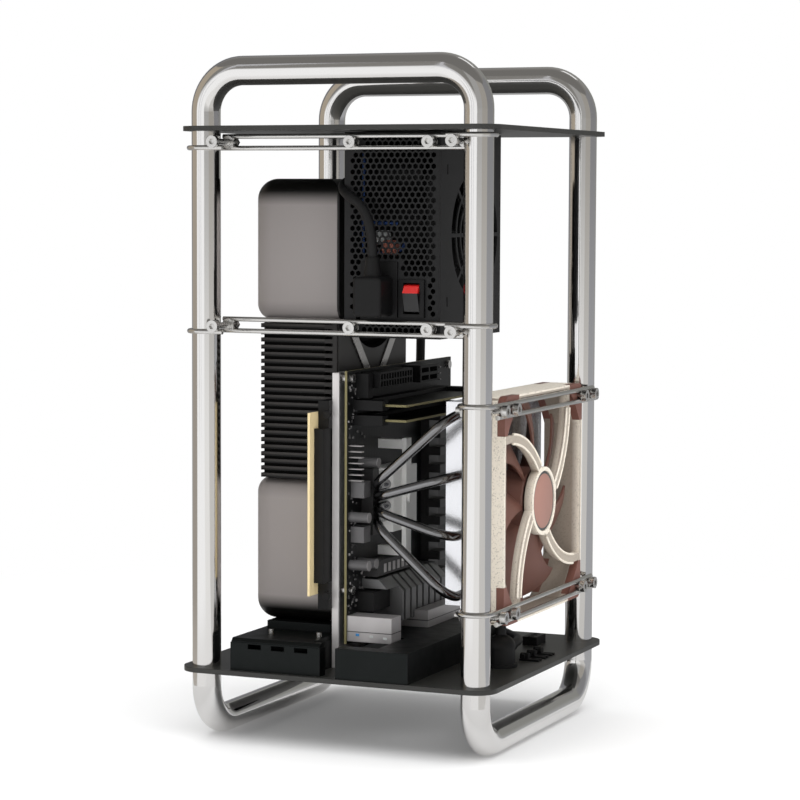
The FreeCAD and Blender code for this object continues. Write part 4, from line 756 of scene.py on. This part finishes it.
def about_axis(at, x, radius, angle):
    """Give the point at a radius and an angle about the line along X through a point."""
    return x, at[1] + radius * math.cos(angle), at[2] + radius * math.sin(angle)


def lathe(build, profile, at, steps=64):
    """Turn a profile of (along X, radius) pairs about the line along X through a point."""
    angles = [2 * math.pi * i / steps for i in range(steps)]
    rings = [[build.verts.new(about_axis(at, x, radius, angle)) for angle in angles] for x, radius in profile]
    for ring, after in zip(rings, rings[1:]):
        for i in range(steps):
            j = (i + 1) % steps
            build.faces.new((ring[i], ring[j], after[j], after[i]))
    build.faces.new(rings[0])
    build.faces.new(list(reversed(rings[-1])))


def finished_mesh(build, name, crease=35.0):
    """Close a build into a mesh that shades smoothly up to a crease angle in degrees."""
    bmesh.ops.recalc_face_normals(build, faces=build.faces)
    for face in build.faces:
        face.smooth = True
    for edge in build.edges:
        if len(edge.link_faces) == 2 and edge.calc_face_angle() > math.radians(crease):
            edge.smooth = False
    mesh = bpy.data.meshes.new(name)
    build.to_mesh(mesh)
    build.free()
    return mesh


def add_block(build, low, high, ease):
    """Add a block with eased edges."""
    corners = [build.verts.new((x, y, z)) for x in (low[0], high[0]) for y in (low[1], high[1])
               for z in (low[2], high[2])]
    faces = [build.faces.new([corners[i] for i in loop]) for loop in
             ((0, 1, 3, 2), (4, 6, 7, 5), (0, 4, 5, 1), (2, 3, 7, 6), (0, 2, 6, 4), (1, 5, 7, 3))]
    edges = list({edge for face in faces for edge in face.edges})
    bmesh.ops.bevel(build, geom=edges, offset=ease, segments=1, affect="EDGES")


class AimCamera(bpy.types.Operator):
    """Set the camera where the photograph was taken."""
    bl_idname = "case.aim_camera"
    bl_label = "Aim camera"

    def execute(self, context):
        stage = context.scene.case_stage
        data = bpy.data.cameras.new("case_camera")
        data.sensor_width = SENSOR
        data.lens = stage.focal
        data.clip_end = CAMERA_REACH
        camera = bpy.data.objects.new("case_camera", data)
        context.scene.collection.objects.link(camera)
        yaw, pitch, roll = (math.radians(v) for v in CAMERA_TURN)
        turn = Matrix.Rotation(yaw, 4, "Z") @ Matrix.Rotation(math.pi / 2 - pitch, 4, "X")
        camera.matrix_world = (Matrix.Translation(Vector(CAMERA_PLACE) * MM) @ turn
                               @ Matrix.Rotation(roll, 4, "Z"))
        context.scene.camera = camera
        return {"FINISHED"}


class LayLead(bpy.types.Operator):
    """Lay the mains lead from its plug to the inlet on the base."""
    bl_idname = "case.lay_lead"
    bl_label = "Lay mains lead"

    def execute(self, context):
        looks, sizes = settings()[:2]
        line = new_wire("mains_lead", sizes.lead / 2, 5)
        line.resolution_u = 10
        add_run(line, LEAD_ROUTE)
        lead = new_piece("mains_lead", line, rubber_sheath(looks), CASE)
        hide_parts("ac_lead")
        return {"FINISHED"}


class FinishTubeFrame(bpy.types.Operator):
    """Finish the tubes, plates, cross bars and their fasteners."""
    bl_idname = "case.finish_tube_frame"
    bl_label = "Finish tube frame"

    def execute(self, context):
        looks, sizes = settings()[:2]
        dress(polished_steel(looks, "x"), "top_hoop_front", "top_hoop_rear")
        dress(polished_steel(looks, "y"), "foot_hoop_left", "foot_hoop_right")
        dress(polished_steel(looks, "z"), "leg_front_left", "leg_front_right", "leg_rear_left",
              "leg_rear_right")
        dress(black_powder_coat(looks, sizes), "top_plate", "bottom_plate")
        dress(drawn_wire(looks), "front_lower_rods", "front_upper_rods", "side_lower_rods",
              "side_upper_rods")
        dress(turned_steel(looks, sizes), "clamp_and_fan_bolts", "clamp_nuts", "psu_screws_and_washers",
              "pedestal_screws", "standoffs_and_screws", "tube_joiners")
        return {"FINISHED"}


class FinishSupply(bpy.types.Operator):
    """Finish the power supply, its fan, inlet, switch and plug."""
    bl_idname = "case.finish_supply"
    bl_label = "Finish power supply"

    def execute(self, context):
        looks, sizes = settings()[:2]
        dress(coated_sheet(looks, sizes), "psu_tray", "psu_cover")
        dress(moulded_plastic(looks, sizes), "psu_inlet", "psu_switch", "psu_fan_frame", "psu_fan_rotor",
              "power_inlet_cap", "terminal_block_and_lugs", "board_sockets", "riser_slot_and_clips",
              "gpu_fan_top", "gpu_fan_bottom")
        dress(moulded_plastic(looks, sizes, "rubber_moulded_black", edge=4.0), "ac_plug")
        dress(rocker_plastic(looks), "psu_rocker")
        dress(moulded_plastic(looks, sizes, "phenolic_moulded_dark"), "psu_circuit")
        self.add_innards(looks, sizes)
        return {"FINISHED"}

    def add_innards(self, looks, sizes):
        """Add the wires and the two coils that show through the holes of the end panel."""
        line = new_wire("supply_wires", WIRE_RADIUS * MM, 3)
        for route in SUPPLY_WIRES:
            add_run(line, route)
        sleeve = wound_wire("pvc_extruded_blue", looks.wire, sizes)
        new_piece("supply_wires", line, sleeve, CASE)
        for name, finish, tone, turns, (start, y, z) in COILS:
            profile = [(start * MM, COIL_CORE * MM)]
            for i in range(turns):
                turn = start + COIL_PITCH * i
                profile.append(((turn + COIL_RISE) * MM, COIL_RADIUS * MM))
                profile.append(((turn + COIL_FALL) * MM, COIL_RADIUS * MM))
                profile.append(((turn + COIL_PITCH) * MM, COIL_GROOVE * MM))
            build = bmesh.new()
            lathe(build, profile, (0.0, y * MM, z * MM), COIL_STEPS)
            winding = wound_wire(finish, getattr(looks, tone), sizes)
            new_piece(name, finished_mesh(build, name), winding, CASE)


class FinishCard(bpy.types.Operator):
    """Finish the graphics card and its riser."""
    bl_idname = "case.finish_card"
    bl_label = "Finish graphics card"

    def execute(self, context):
        looks, sizes = settings()[:2]
        dress(black_anodised(looks, sizes), "gpu_shell_top", "gpu_shell_bottom")
        dress(finned_anodised(looks, sizes), "gpu_fins")
        dress(grey_anodised(looks, sizes), "gpu_face_plates")
        dress(bright_trim(looks, sizes), "gpu_trim")
        dress(board_laminate("laminate_lacquered_card", looks.mask, looks.laminate, "X"), "gpu_board")
        dress(cream_laminate(looks, sizes), "riser_board")
        self.add_fin_roots(looks)
        return {"FINISHED"}

    def add_fin_roots(self, looks):
        """Fill the ground between the fins along the front and the left, clear of the lower fan."""
        low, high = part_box("gpu_fins")
        pitch = (high[2] - low[2]) / FIN_COUNT
        fan_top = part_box("gpu_fan_bottom")[1][2] + FAN_CLEAR
        build = bmesh.new()
        for i in range(FIN_COUNT):
            bottom, top = low[2] + pitch * (i + FIN_SHARE), low[2] + pitch * (i + 1)
            left, front = low[0] + ROOT_INSET, low[1] + ROOT_INSET
            back = high[1] - ROOT_BACK if bottom > fan_top else ROOT_FAN
            side = front + ROOT_THICK
            add_block(build, (left, front, bottom), (ROOT_RIGHT, side, top), ROOT_EASE)
            add_block(build, (left, side, bottom), (left + ROOT_SIDE, back, top), ROOT_EASE)
        new_piece("fin_roots", finished_mesh(build, "fin_roots"), root_shade_anodised(looks), CASE)


class FinishBoard(bpy.types.Operator):
    """Finish the tray, the main board and the parts on it."""
    bl_idname = "case.finish_board"
    bl_label = "Finish main board"

    def execute(self, context):
        looks, sizes = settings()[:2]
        dress(satin_metal("aluminium_sheet_rolled", looks.tray, sizes, roughness=0.42, metallic=0.5),
              "board_tray")
        dress(board_laminate("laminate_lacquered_board", looks.mask, looks.laminate, "X"), "motherboard")
        dress(board_laminate("laminate_lacquered_stick", looks.mask, looks.laminate, "Z"), "memory_sticks")
        dress(satin_metal("steel_tin_plated", looks.tin, sizes, roughness=0.3), "header_pins")
        dress(port_shells(looks, sizes), "io_ports")
        dress(satin_metal("aluminium_cast_grey", looks.sink, sizes, roughness=0.45), "board_heatsink")
        dress(board_parts(looks, sizes), "board_small_parts")
        self.add_chips(looks, sizes)
        self.add_slats(looks, sizes)
        self.add_tongues(looks, sizes)
        return {"FINISHED"}

    def add_chips(self, looks, sizes):
        """Add the small chips along the front of the board."""
        low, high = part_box("motherboard")
        face, front, bottom = high[0], low[1], low[2]
        chance = random.Random(CHIP_SEED)
        build = bmesh.new()
        for _ in range(CHIP_COUNT):
            y = front + chance.uniform(*CHIP_IN) * MM
            z = bottom + chance.uniform(*CHIP_UP) * MM
            if CHIP_SKIP[0] < z < CHIP_SKIP[1]:
                continue
            wide, tall, thick = (chance.uniform(*span) * MM for span in (CHIP_WIDE, CHIP_TALL, CHIP_THICK))
            add_block(build, (face, y, z), (face + thick, y + wide, z + tall), CHIP_EASE)
        chips = chip_bodies(looks, sizes)
        new_piece("board_chips", finished_mesh(build, "board_chips"), chips, CASE)

    def add_slats(self, looks, sizes):
        """Add the slats on the board's bar."""
        x, start, z = SLAT_START
        build = bmesh.new()
        for i in range(SLAT_COUNT):
            y = start + SLAT_PITCH * i
            add_block(build, (x, y, z), (x + SLAT_THICK, y + SLAT_WIDE, z + SLAT_TALL), SLAT_EASE)
        slats = satin_metal("aluminium_slats_milled", looks.tin, sizes, roughness=0.4, metallic=0.5)
        new_piece("bar_slats", finished_mesh(build, "bar_slats"), slats, CASE)

    def add_tongues(self, looks, sizes):
        """Add the tongues in the board's ports."""
        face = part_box("io_ports")[0][1]
        wide, tall = TONGUE_HALF
        build = bmesh.new()
        for x, z in PORT_TONGUES:
            add_block(build, (x - wide, face - TONGUE_OUT, z - tall), (x + wide, face, z + tall), TONGUE_EASE)
        tongues = port_tongues(looks, sizes)
        new_piece("port_tongues", finished_mesh(build, "port_tongues"), tongues, CASE)


class FinishCooler(bpy.types.Operator):
    """Finish the processor cooler."""
    bl_idname = "case.finish_cooler"
    bl_label = "Finish cooler"

    def execute(self, context):
        looks, sizes = settings()[:2]
        dress(satin_metal("copper_nickel_plated", looks.nickel, sizes, roughness=0.12, size_mm=20.0,
                          metallic=1.0), "cooler_heat_pipes")
        dress(brushed_fins(looks), "cooler_fin_stack")
        dress(satin_metal("zinc_cast_light", looks.bracket, sizes, roughness=0.45, metallic=0.1),
              "cooler_base_and_bracket")
        return {"FINISHED"}


def swept_blades(build, at, back, front):
    """Add thin twisted blades whose chord leans from one face of the rotor to the other."""
    reach = FAN_TIP - BLADE_THICK - FAN_HUB
    steps = range(BLADE_STEPS + 1)
    for blade in range(BLADE_COUNT):
        grid = []
        for out in (i / BLADE_STEPS for i in steps):
            radius = FAN_HUB - BLADE_ROOT + reach * out
            depth = (front - back) * (1.0 - BLADE_TAPER * out)
            row = []
            for share in (j / BLADE_STEPS for j in steps):
                lean = BLADE_PHASE + BLADE_SWEEP * out * out + BLADE_CHORD * (share - 0.5)
                angle = 2 * math.pi * (blade + lean) / BLADE_COUNT
                x = (back + front) / 2 - depth * BLADE_REACH * math.cos(math.pi * share ** BLADE_BEND)
                row.append(build.verts.new(about_axis(at, x, radius, angle)))
            grid.append(row)
        faces = []
        for low, high in zip(grid, grid[1:]):
            for j in range(BLADE_STEPS):
                faces.append(build.faces.new((low[j], low[j + 1], high[j + 1], high[j])))
        bmesh.ops.recalc_face_normals(build, faces=faces)
        bmesh.ops.solidify(build, geom=faces, thickness=BLADE_THICK)


class FinishFan(bpy.types.Operator):
    """Finish the case fan, with curved blades, ribs on its arms and a film on its hub."""
    bl_idname = "case.finish_fan"
    bl_label = "Finish case fan"

    def execute(self, context):
        looks, sizes = settings()[:2]
        dress(flecked_plastic(looks, sizes, "plastic_moulded_flecked", ARM_SHADE), "fan_frame")
        dress(brown_plastic(looks, sizes), "fan_pads", "fan_rotor")
        # The frame is even about the axis, the rotor with its seven blades is not.
        low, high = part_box("fan_frame")
        middle = [(a + b) / 2 for a, b in zip(low, high)]
        self.add_rotor(looks, sizes, middle)
        self.add_hub_film(looks, middle, high[0])
        self.add_ribs(looks, sizes, middle, high[0] - ARM_RIB_SINK)
        return {"FINISHED"}

    def add_rotor(self, looks, sizes, middle):
        """Add the hub with its curved blades, in place of the plain rotor."""
        back, front = (corner[0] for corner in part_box("fan_rotor"))
        # Each end of the hub is rounded off by three points.
        ends = ((0.0, 2.0), (0.4, 0.5), (1.0, 0.0))
        profile = [(back + HUB_ROUND * rise, FAN_HUB - HUB_ROUND * drop) for rise, drop in ends]
        profile += [(front - HUB_ROUND * rise, FAN_HUB - HUB_ROUND * drop) for rise, drop in reversed(ends)]
        build = bmesh.new()
        lathe(build, profile, middle)
        swept_blades(build, middle, back, front)
        brown = rotor_plastic(looks, sizes, middle)
        rotor = new_piece("fan_blades", finished_mesh(build, "fan_blades"), brown, FAN_BODY)
        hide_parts("fan_rotor")

    def add_hub_film(self, looks, middle, face):
        """Add the film on the hub's face, with a bevelled edge."""
        ground = face - HUB_DROP
        build = bmesh.new()
        lathe(build, ((ground, HUB_FACE), (ground + FILM_SIDE, HUB_FACE),
                      (ground + FILM_THICK, HUB_FACE - FILM_SIDE)), middle)
        film = hub_faces(looks, middle)
        new_piece("hub_face", finished_mesh(build, "hub_face"), film, CASE)

    def add_ribs(self, looks, sizes, middle, x):
        """Add the two ribs of each curved arm, as arcs from the hub to where the cross bars pass."""
        line = new_wire("fan_arm_ribs", ARM_RIB_THICK / 2, 3)
        for arm in range(ARM_COUNT):
            cosine, sine = (wave(2 * math.pi * arm / ARM_COUNT) for wave in (math.cos, math.sin))
            for radius in (ARM_RADIUS - ARM_RIB, ARM_RADIUS + ARM_RIB):
                run = line.splines.new("POLY")
                run.points.add(ARM_STEPS)
                for i, point in enumerate(run.points):
                    angle = ARM_START + (ARM_END - ARM_START) * i / ARM_STEPS
                    y = ARM_CENTRE[0] + radius * math.cos(angle)
                    z = ARM_CENTRE[1] + radius * math.sin(angle)
                    point.co = (x, middle[1] + y * cosine - z * sine, middle[2] + y * sine + z * cosine, 1.0)
        ribs = flecked_plastic(looks, sizes, "plastic_moulded_ribs", 0.0)
        new_piece("fan_arm_ribs", line, ribs, CASE)


class FinishBase(bpy.types.Operator):
    """Finish the pedestals on the bottom plate."""
    bl_idname = "case.finish_base"
    bl_label = "Finish pedestals"

    def execute(self, context):
        looks, sizes = settings()[:2]
        dress(satin_metal("aluminium_anodised_pedestal", looks.pedestal, sizes, roughness=0.45),
              "gpu_pedestal", "gpu_pedestal_lid", "io_pedestal", "gpu_bracket")
        return {"FINISHED"}


def flat_sheet(name, half, taper=1.0):
    """Put a flat square into the scene, given by half its width and tapered at one end."""
    build = bmesh.new()
    bmesh.ops.create_grid(build, x_segments=1, y_segments=1, size=half)
    for corner in build.verts:
        if corner.co.x < 0.0:
            corner.co.y *= taper
    mesh = bpy.data.meshes.new(name)
    build.to_mesh(mesh)
    build.free()
    sheet = bpy.data.objects.new(name, mesh)
    bpy.context.scene.collection.objects.link(sheet)
    return sheet


def add_card(name, place, height, width, first, second, fade, taper=1.0):
    """Set up a studio card that only reflections see, graded over a stretch of its length."""
    card = flat_sheet(name, 0.5, taper)
    card.matrix_world = place @ Matrix.Diagonal((height, width, 1.0, 1.0))
    finish = bpy.data.materials.new(name)
    finish.use_nodes = True
    tree = finish.node_tree
    tree.nodes.clear()
    rise = along(tree, add_node(tree, "TexCoord").outputs["Object"], "X", *fade)
    graded = add_node(tree, "Mix", {FIRST: first, SECOND: second}, {0: rise}, data_type="RGBA")
    glow = add_node(tree, "Emission", {"Strength": 1.0}, {"Color": graded.outputs[MIXED]})
    add_node(tree, "OutputMaterial", None, {"Surface": glow.outputs[0]})
    card.data.materials.append(finish)
    for ray in ("camera", "diffuse", "transmission", "shadow", "volume_scatter"):
        setattr(card, "visible_" + ray, False)


def add_wall(name, bearing, span, tone, foot, near, fade=WALL_FADE):
    """Stand a wall over a span of bearings, with a floor card before it where a near tone is given."""
    tone, foot = linear(tone), linear(foot)
    width = 2 * ROOM * math.tan(math.radians(span / 2))
    turn = Matrix.Rotation(math.radians(bearing), 4, "Z")
    upright = Matrix.Translation((ROOM, 0.0, ROOM / 2)) @ Matrix.Rotation(math.pi / 2, 4, "Y")
    add_card(name, turn @ upright, ROOM, width, foot, tone, fade)
    if near:
        middle = Matrix.Translation(((ROOM + FLOOR_START) / 2, 0.0, FLOOR_LIFT))
        # The floor card is a wedge from a little outside the case to the wall.
        add_card(name + "_floor", turn @ middle, ROOM - FLOOR_START, width, linear(near), foot,
                 FLOOR_FADE, FLOOR_START / ROOM)


def add_softbox(name, place, target, width, height, power):
    """Hang a soft rectangular light."""
    data = bpy.data.lights.new(name, "AREA")
    data.shape = "RECTANGLE"
    data.size = width
    data.size_y = height
    data.energy = power
    lamp = bpy.data.objects.new(name, data)
    bpy.context.scene.collection.objects.link(lamp)
    aim = (Vector(place) - Vector(target)).to_track_quat("Z", "Y").to_matrix().to_4x4()
    lamp.matrix_world = Matrix.Translation(Vector(place)) @ aim
    lamp.visible_glossy = False


def seamless_paper(stage):
    # White paper, calendered: matt, it keeps the shadow near the case and runs into white further out.
    finish = bpy.data.materials.new("paper_seamless_white")
    finish.use_nodes = True
    tree = finish.node_tree
    paper = tree.nodes["Principled BSDF"]
    paper.inputs["Base Color"].default_value = stage.floor
    paper.inputs["Roughness"].default_value = 0.9
    paper.inputs["Specular IOR Level"].default_value = MATT
    spot = add_node(tree, "TexCoord").outputs["Object"]
    away = add_node(tree, "VectorMath", None, {0: spot}, operation="LENGTH").outputs["Value"]
    rays = add_node(tree, "LightPath")
    near, far = WHITE_FADE
    fade = add_node(tree, "MapRange", {"From Min": near, "From Max": far, "To Min": WHITE_LEAST},
                    {"Value": away}, interpolation_type="SMOOTHSTEP")
    share = add_node(tree, "Math", None, {0: fade.outputs["Result"], 1: rays.outputs["Is Camera Ray"]},
                     operation="MULTIPLY")
    white = add_node(tree, "Emission", {"Color": (1, 1, 1, 1), "Strength": 1.0})
    both = add_node(tree, "MixShader", None,
                    {0: share.outputs[0], 1: paper.outputs[0], 2: white.outputs[0]})
    # Outside the shadow, reflections see the paper a little greyer, as they do the floor cards further out.
    near, far = GREY_FADE
    calm = add_node(tree, "MapRange", {"From Min": near, "From Max": far, "To Max": GREY_MOST},
                    {"Value": away})
    share = add_node(tree, "Math", None, {0: calm.outputs["Result"], 1: rays.outputs["Is Glossy Ray"]},
                     operation="MULTIPLY")
    grey = add_node(tree, "Emission", {"Color": linear(GREY_TONE), "Strength": 1.0})
    both = add_node(tree, "MixShader", None,
                    {0: share.outputs[0], 1: both.outputs[0], 2: grey.outputs[0]})
    tree.links.new(both.outputs[0], tree.nodes["Material Output"].inputs["Surface"])
    return finish


class SetStage(bpy.types.Operator):
    """Set the pale floor, the white room, the soft lights and the cards that reflections see."""
    bl_idname = "case.set_stage"
    bl_label = "Set stage"

    def execute(self, context):
        stage = context.scene.case_stage
        context.scene.view_settings.view_transform = "Standard"
        floor = flat_sheet("floor", FLOOR_HALF)
        floor.data.materials.append(seamless_paper(stage))
        self.light_room(context.scene, stage)
        for name, power, place, target, width, height in SOFTBOXES:
            add_softbox(name, place, target, width, height, getattr(stage, power))
        for wall in WALLS:
            add_wall(*wall)
        self.hang_ceiling()
        return {"FINISHED"}

    def light_room(self, scene, stage):
        """Light the room evenly, and show it as white."""
        world = bpy.data.worlds.new("studio")
        scene.world = world
        world.use_nodes = True
        tree = world.node_tree
        tree.nodes.clear()
        rays = add_node(tree, "LightPath").outputs
        seen = add_node(tree, "Math", None, {0: rays["Is Camera Ray"], 1: rays["Is Glossy Ray"]},
                        operation="MAXIMUM")
        seen = add_node(tree, "Math", None, {0: seen.outputs[0], 1: rays["Is Transmission Ray"]},
                        operation="MAXIMUM")
        level = add_node(tree, "MapRange", {"To Min": stage.sky, "To Max": 1.0}, {"Value": seen.outputs[0]})
        room = add_node(tree, "Background", {"Color": (1, 1, 1, 1)}, {"Strength": level.outputs["Result"]})
        add_node(tree, "OutputWorld", None, {"Surface": room.outputs[0]})

    def hang_ceiling(self):
        """Hang the graded ceiling, and a bright panel below it."""
        lengthwise = Matrix.Translation((0.0, 0.0, ROOM)) @ Matrix.Rotation(math.pi / 2, 4, "Z")
        first, second = (linear(tone) for tone in CEILING_TONES)
        add_card("ceiling", lengthwise, CEILING_SIZE, CEILING_SIZE, first, second, CEILING_FADE)
        white = linear(PANEL_TONE)
        add_card("ceiling_panel", Matrix.Translation(PANEL_PLACE), *PANEL_SIZE, white, white, WALL_FADE)


class CasePanel(bpy.types.Panel):
    """List the steps and settings of the case."""
    bl_idname = "CASE_PT_steps"
    bl_label = "Computer case"
    bl_space_type = "VIEW_3D"
    bl_region_type = "UI"
    bl_category = "Case"

    def draw(self, context):
        for step in STEPS:
            self.layout.operator(step.bl_idname)
        for group in settings():
            for name in group.__annotations__:
                self.layout.prop(group, name)


GROUPS = (CaseColours, CaseSizes, CaseStage)
STEPS = (AimCamera, LayLead, FinishTubeFrame, FinishSupply, FinishCard, FinishBoard, FinishCooler, FinishFan,
         FinishBase, SetStage)


def register():
    for kind in (*GROUPS, *STEPS, CasePanel):
        bpy.utils.register_class(kind)
    bpy.types.Scene.case_colours = PointerProperty(type=CaseColours)
    bpy.types.Scene.case_sizes = PointerProperty(type=CaseSizes)
    bpy.types.Scene.case_stage = PointerProperty(type=CaseStage)


def unregister():
    del bpy.types.Scene.case_stage
    del bpy.types.Scene.case_sizes
    del bpy.types.Scene.case_colours
    for kind in reversed((*GROUPS, *STEPS, CasePanel)):
        bpy.utils.unregister_class(kind)


def main():
    register()
    for step in STEPS:
        group, name = step.bl_idname.split(".")
        getattr(getattr(bpy.ops, group), name)()


if __name__ == "__main__":
    main()
